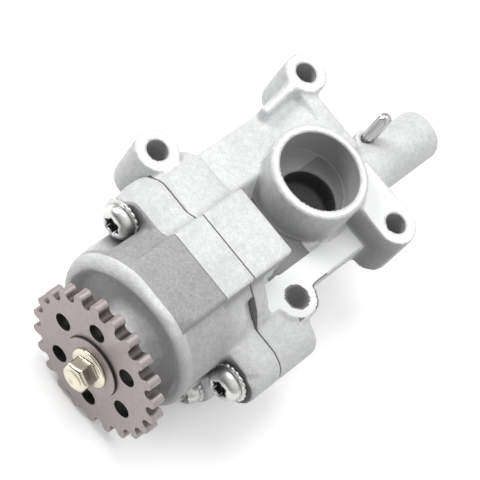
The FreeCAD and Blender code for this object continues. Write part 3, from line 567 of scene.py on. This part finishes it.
def ridge_shade(x, y, z, up):
    """Painted shade along the foot of the ridge's left side and down its right side."""
    from_foot = x - (RIDGE[0] - 0.6 * MM)
    foot = (1.0 - (from_foot * from_foot).root() / (2.6 * MM)).limit() * (z > 10 * MM)
    side = (x > RIDGE[1] - 0.3 * MM) * fade(RIDGE[1] + 6 * MM - x, 4 * MM) * fade(0.92 - up, 0.25)
    side = side * fade(z - (RIDGE_TOP - 12 * MM), 6 * MM)
    return (foot * 0.3 + side * 0.7) * (y > RAMP_REAR) * (y < JOINT_Y + 21 * MM)


def corner_shade(x, y, z, rear):
    """Painted shade on walls facing forwards behind the ridge and the bar, darker towards their foot."""
    turned_away = ((rear + 0.2) * -4.0).limit()
    behind = (y > JOINT_Y + 18 * MM) * (y < INLET[1] + 18 * MM) * (x > -22 * MM)
    depth = fade(INLET[2] - 3 * MM - z, 12 * MM) * (z > 0.5 * MM)
    return turned_away * behind * (0.25 + 0.75 * depth)


def valley_shade(x, y, z, up):
    """Painted shade on the floor between the ridge's rear wall and the inlet's collar."""
    across = (x > -14 * MM) * (x < RIDGE[1] + 20 * MM)
    along = (y > JOINT_Y + 16 * MM) * (y < INLET[1] - 14 * MM)
    return across * along * (up > 0.6) * fade(INLET[2] - 10 * MM - z, 6 * MM)


def rim_shade(x, y):
    """Painted shade on the right hand part of the drum's bead."""
    return (y < DRUM_FRONT + 2 * BEAD) * fade(x - 12 * MM, 10 * MM)


def inlet_shade_mask(x, y, z):
    """Where the inlet's painted shade goes: its inner wall and what lies below it."""
    bore = INLET_RADIUS + 0.35 * MM
    return (ring_distance(x, y, INLET) < bore) * (z < INLET[2] - 0.6 * MM) * (z > 4 * MM)


def inlet_shade_colour(finish, inside, x, z, up):
    """Painted shade in the inlet: the wall, the shelf below it darker and less so on its left, and a
    nearly black pocket.
    """
    shelf = (z < INLET[2] - 14.2 * MM) * (up + 0.6 > 0.0)
    wall = finish.blend(shelf, inside, shades(inside, 0.4))
    wall = finish.blend(shelf * (x < INLET[0] - 7 * MM), wall, shades(inside, 0.65))
    return finish.blend(z < INLET[2] - 15.6 * MM, wall, shades(inside, 0.14))


def cast_finish(settings):
    """Die cast aluminium: mottled skin, milled tops and a thin joint, with painted shade on the ramp, the
    drum's flank, the ridge's sides, the walls and floor behind the ridge, round the upper screws, on the
    bead's right, in the inlet and in the mounting holes.
    """
    finish = Finish("cast_aluminium")
    x, y, z = finish.place()
    _, rear, up = finish.facing()
    colour = settings.colour
    milled = milled_mask(y, z, up)
    patches = finish.noise(45.0, 3.0, 0.6)
    cloud = finish.noise(420.0, 4.0, 0.65)
    grain = finish.noise(1300.0, 2.0, 0.6)
    share = ((0.5 * patches + 0.5 * cloud - 0.42) * 5.0).limit()
    speckle = ((grain - 0.4) * 4.0).limit()
    # Painted shade for the ramp and the flank, speckled by the grain
    painted_shade_grey = finish.blend(0.6 * speckle + 0.4 * share, settings.ramp, shades(settings.ramp, 0.68))
    skin = finish.blend(share, colour, shades(colour, 0.8))
    # Apart from the speckle, the seam lines and the milled tops, these layers are painted shade
    layers = (
        (speckle * 0.45, shades(colour, 0.7)),
        (ramp_shade_mask(x, y, z, up), painted_shade_grey),
        (flank_shade_mask(x, y, z) * 0.55, painted_shade_grey),
        (ridge_shade(x, y, z, up), shades(colour, 0.4)),
        (seam_mask(x, y, z, up), shades(colour, 0.28)),
        (corner_shade(x, y, z, rear) * 0.7, shades(colour, 0.27)),
        (valley_shade(x, y, z, up) * 0.85, shades(colour, 0.2)),
        (screw_shade(x, y, z), shades(colour, 0.14)),
        (rim_shade(x, y) * 0.5, settings.ramp),
        (inlet_shade_mask(x, y, z), inlet_shade_colour(finish, settings.inside, x, z, up)),
        (hole_shade_mask(x, y, z), settings.hole_shade),
        (milled, settings.machined),
    )
    for mask, above in layers:
        skin = finish.blend(mask, skin, above)
    finish.feed("Base Color", skin)
    finish.feed("Metallic", 0.15)
    finish.feed("Roughness", 0.5 + 0.12 * grain - 0.16 * milled)
    finish.relief(grain * (1.0 - 0.9 * milled), settings.grain, 0.8)
    return finish.material


def clouded(finish, colour):
    """Steel's cloudy colour, and the cloud from 0 to 1 that it follows."""
    cloud = finish.noise(500.0, 3.0, 0.6)
    return finish.blend((cloud - 0.3).limit(), colour, shades(colour, 0.8)), cloud


def steel_finish(name, colour, rough, metallic=1.0):
    """Ground, sintered or plated steel with a cloudy colour and roughness."""
    finish = Finish(name)
    base, cloud = clouded(finish, colour)
    finish.feed("Base Color", base)
    finish.feed("Metallic", metallic)
    finish.feed("Roughness", rough + 0.15 * cloud)
    finish.relief(finish.noise(1500.0, 2.0, 0.5), 0.02 * MM, 0.6, EDGE_ROUND)
    return finish.material


def hole_walls(x, z):
    """The walls of the sprocket's six holes, where painted shadow goes."""
    walls = x * 0.0
    for k in range(6):
        turn = np.radians(HOLE_START + 60 * k)
        centre = (HOLE_CIRCLE * np.cos(turn), HOLE_CIRCLE * np.sin(turn))
        walls = walls + (ring_distance(x, z, centre) < HOLE_RADIUS + 0.12 * MM)
    return walls


def tooth_gaps(out, rear, tip):
    """Painted shade on the faces between the teeth, darker from 0.9 mm below the tips inwards."""
    return fade(tip - 0.9 * MM - out, 2.2 * MM) * (rear * rear < 0.3) * (out > tip - TOOTH)


def sprocket_finish(settings):
    """Turned sintered steel: faint rings, with painted shade in the tooth gaps and painted shadow on the
    hole walls and round the hub's step.
    """
    finish = Finish("sprocket_steel")
    x, y, z = finish.place()
    _, rear, _ = finish.facing()
    out = ring_distance(x, z, (0.0, 0.0))
    low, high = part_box("sprocket")
    front, tip = low[1], (high[0] - low[0]) / 2
    # Painted shadow at the hub's step and on the hole walls, nearly black and hardly metallic
    step = out.near(HUB_RADIUS, 0.3 * MM) * (y > front + 0.25 * MM)
    dark = (step + hole_walls(x, z)).limit()
    base, cloud = clouded(finish, settings.colour)
    base = finish.blend(tooth_gaps(out, rear, tip) * 0.85, base, shades(settings.colour, 0.16))
    finish.feed("Base Color", finish.blend(dark, base, (0.02, 0.018, 0.018)))
    finish.feed("Metallic", 0.85 - 0.8 * dark)
    finish.feed("Roughness", 0.4 + 0.15 * cloud)
    height = 0.4 * finish.noise(1500.0, 2.0, 0.5) + 0.6 * (out * TURNING).sine()
    finish.relief(height, 0.02 * MM, 0.6, EDGE_ROUND)
    return finish.material


def plain_finish(name, colour, rough, metallic):
    finish = Finish(name)
    finish.feed("Base Color", colour)
    finish.feed("Metallic", metallic)
    finish.feed("Roughness", rough + 0.1 * finish.noise(400.0))
    return finish.material


def give_finish(material, *nodes):
    """Puts a finish on solids that stay as they are."""
    for name in nodes:
        NODES[name].data.materials.clear()
        NODES[name].data.materials.append(material)


# Crisp places on the castings


def smooth_share(distance, full):
    """0 at the edge and 1 from the full distance on, in an even curve."""
    share = np.clip(distance / full, 0.0, 1.0)
    return share * share * (3.0 - 2.0 * share)


def held(weight, distance, full, least):
    """The weight, lowered to the least at an edge and free from the full distance on."""
    return np.minimum(weight, least + (1.0 - least) * smooth_share(distance, full))


def body_crispness(points):
    """How far smoothing may go on the pump body: little at milled tops, bores and the joint."""
    x, y, z = points.T
    weight = np.ones(len(points))
    for mount in HOLES:
        px, py, pz = mount["pos_m"]
        away = np.hypot(x - px, y - py)
        top = np.hypot(np.maximum(away - POST_RADIUS, 0.0), z - pz)
        weight = held(weight, top, 3.0 * MM, 0.12)
        weight = held(weight, np.abs(away - mount["dims"]["r_mm"] * MM), 1.5 * MM, 0.12)
    px, py, pz = INLET
    away = np.hypot(x - px, y - py)
    top = np.hypot(np.maximum(away - COLLAR_RADIUS, 0.0), z - pz)
    weight = held(weight, top, 2.5 * MM, 0.12)
    weight = held(weight, np.abs(away - INLET_RADIUS), 1.5 * MM, 0.15)
    bar_top = MOUNTS["mounting_hole_ear"]["pos_m"][2]
    on_bar = (x > 13 * MM) & (y < 47 * MM)
    weight = np.where(on_bar, held(weight, np.abs(z - bar_top), 2.0 * MM, 0.25), weight)
    weight = held(weight, np.abs(y - JOINT_Y), 2.0 * MM, 0.25)
    return held(weight, np.abs(z), 1.5 * MM, 0.2)


def true_bores(points):
    """Sets the points near the walls and rims of the holes and the inlet exactly on them."""
    moved = points.copy()
    for mount in HOLES + [MOUNTS["oil_inlet"]]:
        px, py, pz = mount["pos_m"]
        radius = mount["dims"]["r_mm"] * MM
        dx, dy = moved[:, 0] - px, moved[:, 1] - py
        away = np.hypot(dx, dy)
        below = pz - moved[:, 2]
        wall = (np.abs(away - radius) < BORE_REACH) & (below > -BORE_REACH) & (below < 13 * MM)
        share = np.where(wall, radius / np.maximum(away, MM), 1.0)
        moved[:, 0] = px + dx * share
        moved[:, 1] = py + dy * share
        rim = (np.abs(below) < BORE_REACH) & (away > radius - BORE_REACH) & (away < radius + 1.5 * MM)
        moved[:, 2] = np.where(rim, pz, moved[:, 2])
    return moved


def cover_crispness(points):
    """How far smoothing may go on the cover: little at its joint face and the shaft's boss."""
    x, y, z = points.T
    weight = held(np.ones(len(points)), np.abs(y - JOINT_Y), 2.0 * MM, 0.25)
    return held(weight, np.hypot(x, z) - 10 * MM, 4.0 * MM, 0.2)


def upper_left(angle):
    """1 at the upper left of the drum, seen from the front, falling to 0 a quarter turn away."""
    return np.maximum(np.cos(angle - np.radians(150)), 0.0)


def rim_bead():
    """The unbroken bead of the drum's rim, which is thicker at the upper left.

    Point (u, t) is (r cos t, y, r sin t) about the drum's axis with r = R - b + b cos u,
    y = front + b + b sin u and b = BEAD + BEAD_EXTRA * upper_left(t).
    """
    turn, angle = np.meshgrid(np.linspace(0.0, 2.0 * np.pi, 25),
                              np.linspace(0.0, 2.0 * np.pi, 160, endpoint=False), indexing="ij")
    thick = BEAD + BEAD_EXTRA * upper_left(angle)
    radius = DRUM_RADIUS - thick + thick * np.cos(turn)
    y = DRUM_FRONT + thick + thick * np.sin(turn)
    points = np.stack([DRUM_X + radius * np.cos(angle), y, radius * np.sin(angle)], axis=-1)
    return close_and_orient(new_piece("rim_bead", points.reshape(-1, 3), grid_faces(25, 160, True)))


def rim_reach(behind, rounding):
    """How far from the drum's axis the rim reaches at a distance d behind the drum's front.

    It is R - q + sqrt(q^2 - (q - d)^2) for d below the rounding q, and R + (d - q) / 2 behind.
    """
    short = rounding - np.minimum(behind, rounding)
    reach = DRUM_RADIUS - rounding + np.sqrt(rounding ** 2 - short ** 2)
    return reach + 0.5 * np.maximum(behind - rounding, 0.0)


def trim_rim(points):
    """Draws the ridge's front corners in to the drum's rounded rim and clears the dish.

    The rounding is larger at the upper left. Inside the dish's edge points go back to its
    floor, which rises over the last 2 mm; the shaft's boss keeps its place.
    """
    behind = np.maximum(points[:, 1] - DRUM_FRONT, 0.0)
    dx, dz = points[:, 0] - DRUM_X, points[:, 2]
    away = np.hypot(dx, dz)
    left = upper_left(np.arctan2(dz, dx))
    rounding = RIM_ROUND + 1.5 * BEAD_EXTRA * left
    reach = rim_reach(behind, rounding)
    corner = (dz > 0.3 * DRUM_RADIUS) | ((left > 0.0) & (behind < rounding))
    share = np.where(corner & (away > reach), reach / np.maximum(away, MM), 1.0)
    moved = points.copy()
    moved[:, 0] = DRUM_X + dx * share
    moved[:, 2] = dz * share
    edge = DISH_EDGE - BEAD_EXTRA * left
    floor = DRUM_FRONT + DISH_DEPTH * np.clip((edge - away) / (2 * MM), 0.0, 1.0)
    boss = np.hypot(points[:, 0], points[:, 2]) < BOSS_RADIUS + 0.5 * MM
    in_dish = (away < edge) & (points[:, 1] < floor) & ~boss
    moved[:, 1] = np.where(in_dish, floor, points[:, 1])
    near_rim = moved[:, 1] < DRUM_FRONT + 2.5 * BEAD
    moved[:, 2] = np.where(near_rim, np.minimum(moved[:, 2], RIM_TOP), moved[:, 2])
    return moved


# Pieces


class PUMP_OT_castings(bpy.types.Operator):
    """Remakes the pump body and the front cover with cast roundings and a grained skin"""
    bl_idname = "pump.castings"
    bl_label = "Castings"

    def execute(self, context):
        settings = context.scene.pump_casting
        finish = cast_finish(settings)
        cell, passes = settings.cell, settings.passes
        body = softened_copy("pump_body", "body_casting", cell, passes, body_crispness,
                             settle=true_bores)
        cover = softened_copy("front_cover", "cover_casting", cell, passes, cover_crispness,
                              trim=trim_rim, additions=(rim_bead(),))
        dress(body, "housing", "pump_body", finish)
        dress(cover, "housing", "front_cover", finish)
        return {"FINISHED"}


class PUMP_OT_drive(bpy.types.Operator):
    """Finishes the sprocket, its bolt, the shaft and the rotors"""
    bl_idname = "pump.drive"
    bl_label = "Drive"

    def execute(self, context):
        settings = context.scene.pump_drive
        give_finish(sprocket_finish(settings), "sprocket")
        bolt = steel_finish("yellow_zinc", settings.bolt_colour, 0.16)
        bolt_piece(settings, bolt)
        ground = steel_finish("ground_steel", (0.55, 0.55, 0.56), 0.25)
        give_finish(ground, "drive_shaft", "sprocket_key", "drive_pin", "thrust_washer",
                    "relief_piston", "dowel_pin_1", "dowel_pin_2")
        sintered = steel_finish("sintered_steel", (0.35, 0.35, 0.36), 0.4)
        give_finish(sintered, "inner_rotor", "outer_rotor")
        give_finish(plain_finish("bush_bronze", (0.62, 0.47, 0.27), 0.35, 1.0), "front_bush", "rear_bush")
        spring_piece(plain_finish("spring_steel", (0.5, 0.5, 0.52), 0.25, 1.0))
        give_finish(plain_finish("seal_rubber", (0.05, 0.05, 0.05), 0.6, 0.0), "outlet_seal")
        give_finish(plain_finish("soft_aluminium", (0.75, 0.75, 0.75), 0.3, 1.0), "relief_seal_washer")
        return {"FINISHED"}


def spring_piece(finish):
    """A copy of the relief spring that rides on the relief piston at its length at rest.

    At full travel its length would be (length - travel) / length of that at rest, so that its other
    end stays on the plug; this share is worked out but not used, and the spring doesn't shorten.
    """
    node = "relief_spring"
    low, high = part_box(node)
    joints = frame["record"]["behaviour"]["joints"]
    travel = next(joint["range_m"][1] for joint in joints if joint["name"] == "relief_slide")
    length = high[1] - low[1]
    piece = bpy.data.objects.new("relief_spring_detail", NODES[node].data.copy())
    bpy.context.scene.collection.objects.link(piece)
    close_and_orient(piece)
    dress(piece, "relief_piston", node, finish, 50)
    (length - travel) / length
    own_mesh(piece)
    return piece


def bolt_piece(settings, finish):
    """The flanged hexagon bolt in one turned surface.

    On the head's rows the radius is the hexagon's, a / cos(((t + 30) mod 60) - 30) with a
    half the width across flats, held below the round crown's radius of that row.
    """
    low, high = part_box("sprocket_bolt")
    front, rear = low[1], high[1]
    flange = (high[0] - low[0]) / 2
    half = settings.flats / 2
    corner = half / np.cos(np.pi / 6)
    seat = front + 7.8 * MM
    rows = [
        (0.0, front + 0.9 * MM), (half * 0.55, front + 0.9 * MM), (half * 0.66, front + 0.15 * MM),
        (half * 0.8, front), (half * 0.94, front + 0.05 * MM), (corner * 0.985, front + 1.0 * MM),
        (corner * 1.02, front + 1.5 * MM), (corner * 1.02, front + 5.6 * MM),
        (corner * 1.02, front + 5.9 * MM), (flange - 1.2 * MM, front + 6.4 * MM),
        (flange - 0.3 * MM, front + 6.7 * MM), (flange, front + 7.0 * MM), (flange, seat - 0.2 * MM),
        (flange - 0.2 * MM, seat), (3.9 * MM, seat), (3.9 * MM, rear - 1.0 * MM),
        (2.9 * MM, rear), (0.0, rear),
    ]

    def hexagon(row, angle, radius):
        turn = np.mod(angle + np.pi / 6, np.pi / 3) - np.pi / 6
        flat = half / np.cos(turn)
        return np.where((row >= 4) & (row <= 8), np.minimum(radius, flat), radius)

    piece = turned("sprocket_bolt_detail", rows, (0.0, 0.0, 0.0), hexagon, 120)
    return dress(piece, "shaft", "sprocket_bolt", finish, 28)


class PUMP_OT_fasteners(bpy.types.Operator):
    """Makes the four cover screws with their serrated washers and the pin, and finishes the plug"""
    bl_idname = "pump.fasteners"
    bl_label = "Fasteners"

    def execute(self, context):
        settings = context.scene.pump_fasteners
        zinc = steel_finish("zinc_steel", settings.colour, 0.24, 0.95)
        # Painted shadow for the recesses of the two upper screws
        dark = plain_finish("recess_shadow", (0.02, 0.02, 0.02), 0.6, 0.2)
        give_finish(zinc, "relief_plug")
        pin_piece(zinc)
        for number in range(1, 5):
            cover_screw(number, zinc, dark if number in UPPER_SCREWS else zinc)
            cover_washer(number, settings.serrations, zinc)
        return {"FINISHED"}


def pin_piece(finish):
    """The upright retaining pin: thin in its hole, thicker and ribbed lengthwise above the boss.

    On the ribbed rows the radius is r - h (1 - cos 9t) / 2 with h the depth of the grooves.
    """
    low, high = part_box("retaining_pin")
    centre_x, centre_y = (low[0] + high[0]) / 2, (low[1] + high[1]) / 2
    shank = (high[0] - low[0]) / 2
    thick = shank + 0.7 * MM
    step = low[2] + 11 * MM
    rows = [
        (0.0, low[2]), (shank, low[2]), (shank, step), (thick - 0.3 * MM, step + 0.1 * MM),
        (thick, step + 0.5 * MM), (thick, high[2] - 1.6 * MM), (thick - 0.4 * MM, high[2] - 1.2 * MM),
        (thick * 0.55, high[2] - 1.0 * MM), (thick * 0.5, high[2] - 0.2 * MM), (0.0, high[2]),
    ]

    def ribs(row, angle, radius):
        dip = 0.5 * MM * (0.5 - 0.5 * np.cos(9 * angle))
        return np.where((row >= 4) & (row <= 5), radius - dip, radius)

    piece = turned("retaining_pin_detail", rows, (centre_x, 0.0, centre_y), ribs, 90)
    upright = mesh_points(piece.data)[:, [0, 2, 1]]
    piece.data.vertices.foreach_set("co", upright.ravel())
    close_and_orient(piece)
    return dress(piece, "housing", "retaining_pin", finish, 35)


def cover_screw(number, finish, dark):
    """A dome head with a six lobed recess and its shank, in one turned surface.

    On the recess rows the radius is r (1 + 0.13 cos 6t), and it is round elsewhere.
    """
    node = "cover_screw_%d" % number
    low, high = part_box(node)
    centre = ((low[0] + high[0]) / 2, 0.0, (low[2] + high[2]) / 2)
    head = (high[0] - low[0]) / 2
    front, rear = low[1], high[1]
    rows = [
        (0.0, front + 2.6 * MM), (2.7 * MM, front + 2.5 * MM), (3.0 * MM, front + 2.2 * MM),
        (3.1 * MM, front + 0.5 * MM), (3.4 * MM, front + 0.1 * MM), (3.9 * MM, front),
        (head * 0.74, front + 0.45 * MM), (head * 0.86, front + 1.2 * MM),
        (head * 0.95, front + 2.2 * MM), (head, front + 3.5 * MM), (head, front + 4.5 * MM),
        (head - 0.1 * MM, front + 4.6 * MM), (2.9 * MM, front + 4.6 * MM),
        (2.9 * MM, rear - 1.0 * MM), (1.9 * MM, rear), (0.0, rear),
    ]

    def lobes(row, angle, radius):
        return np.where((row >= 1) & (row <= 4), radius * (1.0 + 0.13 * np.cos(6 * angle)), radius)

    piece = turned("cover_screw_detail_%d" % number, rows, centre, lobes, 96)
    dress(piece, "housing", node, finish, 40)
    # The faces sunk in the recess take the painted recess shadow
    piece.data.materials.append(dark)
    for face in piece.data.polygons:
        x, y, z = face.center
        sunk = np.hypot(x - centre[0], z - centre[2]) < 3.4 * MM
        face.material_index = int(sunk and front + 0.5 * MM < y < front + 3 * MM)
    return piece


def cover_washer(number, teeth, finish):
    """A locking washer: a ring whose outer radius follows a rounded saw wave of its angle."""
    node = "cover_washer_%d" % number
    low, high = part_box(node)
    centre = ((low[0] + high[0]) / 2, 0.0, (low[2] + high[2]) / 2)
    outer = (high[0] - low[0]) / 2
    front, rear = low[1], high[1]
    inner = 3.3 * MM
    rows = [
        (inner, rear), (inner, front), (outer - 0.9 * MM, front), (outer - 0.15 * MM, front + 0.1 * MM),
        (outer, front + 0.4 * MM), (outer, rear - 0.3 * MM), (outer - 0.2 * MM, rear), (inner, rear),
    ]

    def saw(row, angle, radius):
        wave = 0.5 - 0.5 * np.cos(teeth * angle)
        return np.where((row >= 3) & (row <= 6), radius - 0.45 * MM * wave ** 2, radius)

    piece = turned("cover_washer_detail_%d" % number, rows, centre, saw, 8 * max(teeth, 12))
    return dress(piece, "housing", node, finish, 40)


class PUMP_OT_stage(bpy.types.Operator):
    """Sets the pale floor, the two soft lights, the room's light and the camera"""
    bl_idname = "pump.stage"
    bl_label = "Stage"

    def execute(self, context):
        settings = context.scene.pump_stage
        scene = context.scene
        scene.view_settings.view_transform = "Standard"
        floor_level = CAD_BOX[0][2]
        square = np.array([[-1, -1, 0], [1, -1, 0], [1, 1, 0], [-1, 1, 0]]) * 3.0
        square[:, 2] = floor_level - 0.05 * MM
        floor = new_piece("floor", square, np.array([[0, 1, 2, 3]]), False)
        floor.data.materials.append(floor_finish())
        soft_light("key", KEY_PLACE, 0.50, settings.key)
        soft_light("top", TOP_PLACE, 0.55, settings.top)
        room_light(scene, settings)
        viewer = camera_piece()
        scene.camera = viewer
        return {"FINISHED"}


def camera_piece():
    """The camera at its place, turned so that its own x and z axes are the two directions."""
    camera = bpy.data.cameras.new("camera")
    camera.sensor_width = 36.0
    camera.lens = 135.0
    viewer = bpy.data.objects.new("camera", camera)
    bpy.context.scene.collection.objects.link(viewer)
    right = Vector(CAMERA_RIGHT).normalized()
    back = Vector(CAMERA_BACK).normalized()
    up = back.cross(right).normalized()
    turn = Matrix((up.cross(back), up, back)).transposed()
    viewer.matrix_world = Matrix.Translation(CAMERA_PLACE) @ turn.to_4x4()
    return viewer


def floor_finish():
    """A floor that is white to the camera and in gloss, and grey in the light it gives back."""
    finish = Finish("floor_white")
    path = finish.node("ShaderNodeLightPath")
    glossy = finish.field(path, "Is Glossy Ray")
    returned = finish.blend(glossy, (FLOOR_RETURNED,) * 3, (FLOOR_GLOSS,) * 3)
    colour = finish.blend(finish.field(path, "Is Camera Ray"), returned, (FLOOR_SEEN,) * 3)
    diffuse = finish.node("ShaderNodeBsdfDiffuse", None, {"Color": colour})
    output = finish.tree.nodes["Material Output"]
    finish.tree.links.new(diffuse.outputs[0], output.inputs["Surface"])
    return finish.material


def soft_light(name, spot, size, power):
    lamp = bpy.data.lights.new(name, "AREA")
    lamp.shape = "DISK"
    lamp.size = size
    lamp.energy = power
    light = bpy.data.objects.new(name, lamp)
    light.location = spot
    light.rotation_euler = (-Vector(spot)).to_track_quat("-Z", "Y").to_euler()
    bpy.context.scene.collection.objects.link(light)
    return light


def room_light(scene, settings):
    """A soft room, brighter towards one side, that the camera sees as white.

    Light comes from a direction d at the strength room + sky * max(0, d . n) with n the
    direction of the bright side.
    """
    world = bpy.data.worlds.new("room")
    scene.world = world
    world.use_nodes = True
    tree = world.node_tree
    background = tree.nodes["Background"]
    path = tree.nodes.new("ShaderNodeLightPath")
    way = tree.nodes.new("ShaderNodeTexCoord")
    turn = tree.nodes.new("ShaderNodeVectorMath")
    turn.operation = "DOT_PRODUCT"
    tree.links.new(way.outputs["Generated"], turn.inputs[0])
    turn.inputs[1].default_value = Vector(settings.side).normalized()
    toward = Field(tree, turn.outputs["Value"])
    level = settings.room + settings.sky * toward.math("MAXIMUM", toward, 0.0)
    seen = Field(tree, path.outputs["Is Camera Ray"])
    background.inputs["Color"].default_value = (1.0, 1.0, 1.0, 1.0)
    tree.links.new((level * (1.0 - seen) + seen).socket, background.inputs["Strength"])


class PUMP_PT_panel(bpy.types.Panel):
    bl_label = "Oil pump"
    bl_idname = "PUMP_PT_panel"
    bl_space_type = "VIEW_3D"
    bl_region_type = "UI"
    bl_category = "Oil pump"

    def draw(self, context):
        for operator in OPERATORS:
            self.layout.operator(operator.bl_idname)
        for name, group in GROUPS.items():
            settings = getattr(context.scene, name)
            for key in group.__annotations__:
                self.layout.prop(settings, key)


GROUPS = {
    "pump_casting": PumpCasting,
    "pump_drive": PumpDrive,
    "pump_fasteners": PumpFasteners,
    "pump_stage": PumpStage,
}
OPERATORS = (PUMP_OT_castings, PUMP_OT_drive, PUMP_OT_fasteners, PUMP_OT_stage)


def register():
    for group in GROUPS.values():
        bpy.utils.register_class(group)
    for name, group in GROUPS.items():
        setattr(bpy.types.Scene, name, bpy.props.PointerProperty(type=group))
    for operator in OPERATORS:
        bpy.utils.register_class(operator)
    bpy.utils.register_class(PUMP_PT_panel)


def unregister():
    bpy.utils.unregister_class(PUMP_PT_panel)
    for operator in reversed(OPERATORS):
        bpy.utils.unregister_class(operator)
    for name in GROUPS:
        delattr(bpy.types.Scene, name)
    for group in reversed(list(GROUPS.values())):
        bpy.utils.unregister_class(group)


def main():
    register()
    bpy.ops.pump.castings()
    bpy.ops.pump.drive()
    bpy.ops.pump.fasteners()
    bpy.ops.pump.stage()


if __name__ == "__main__":
    main()
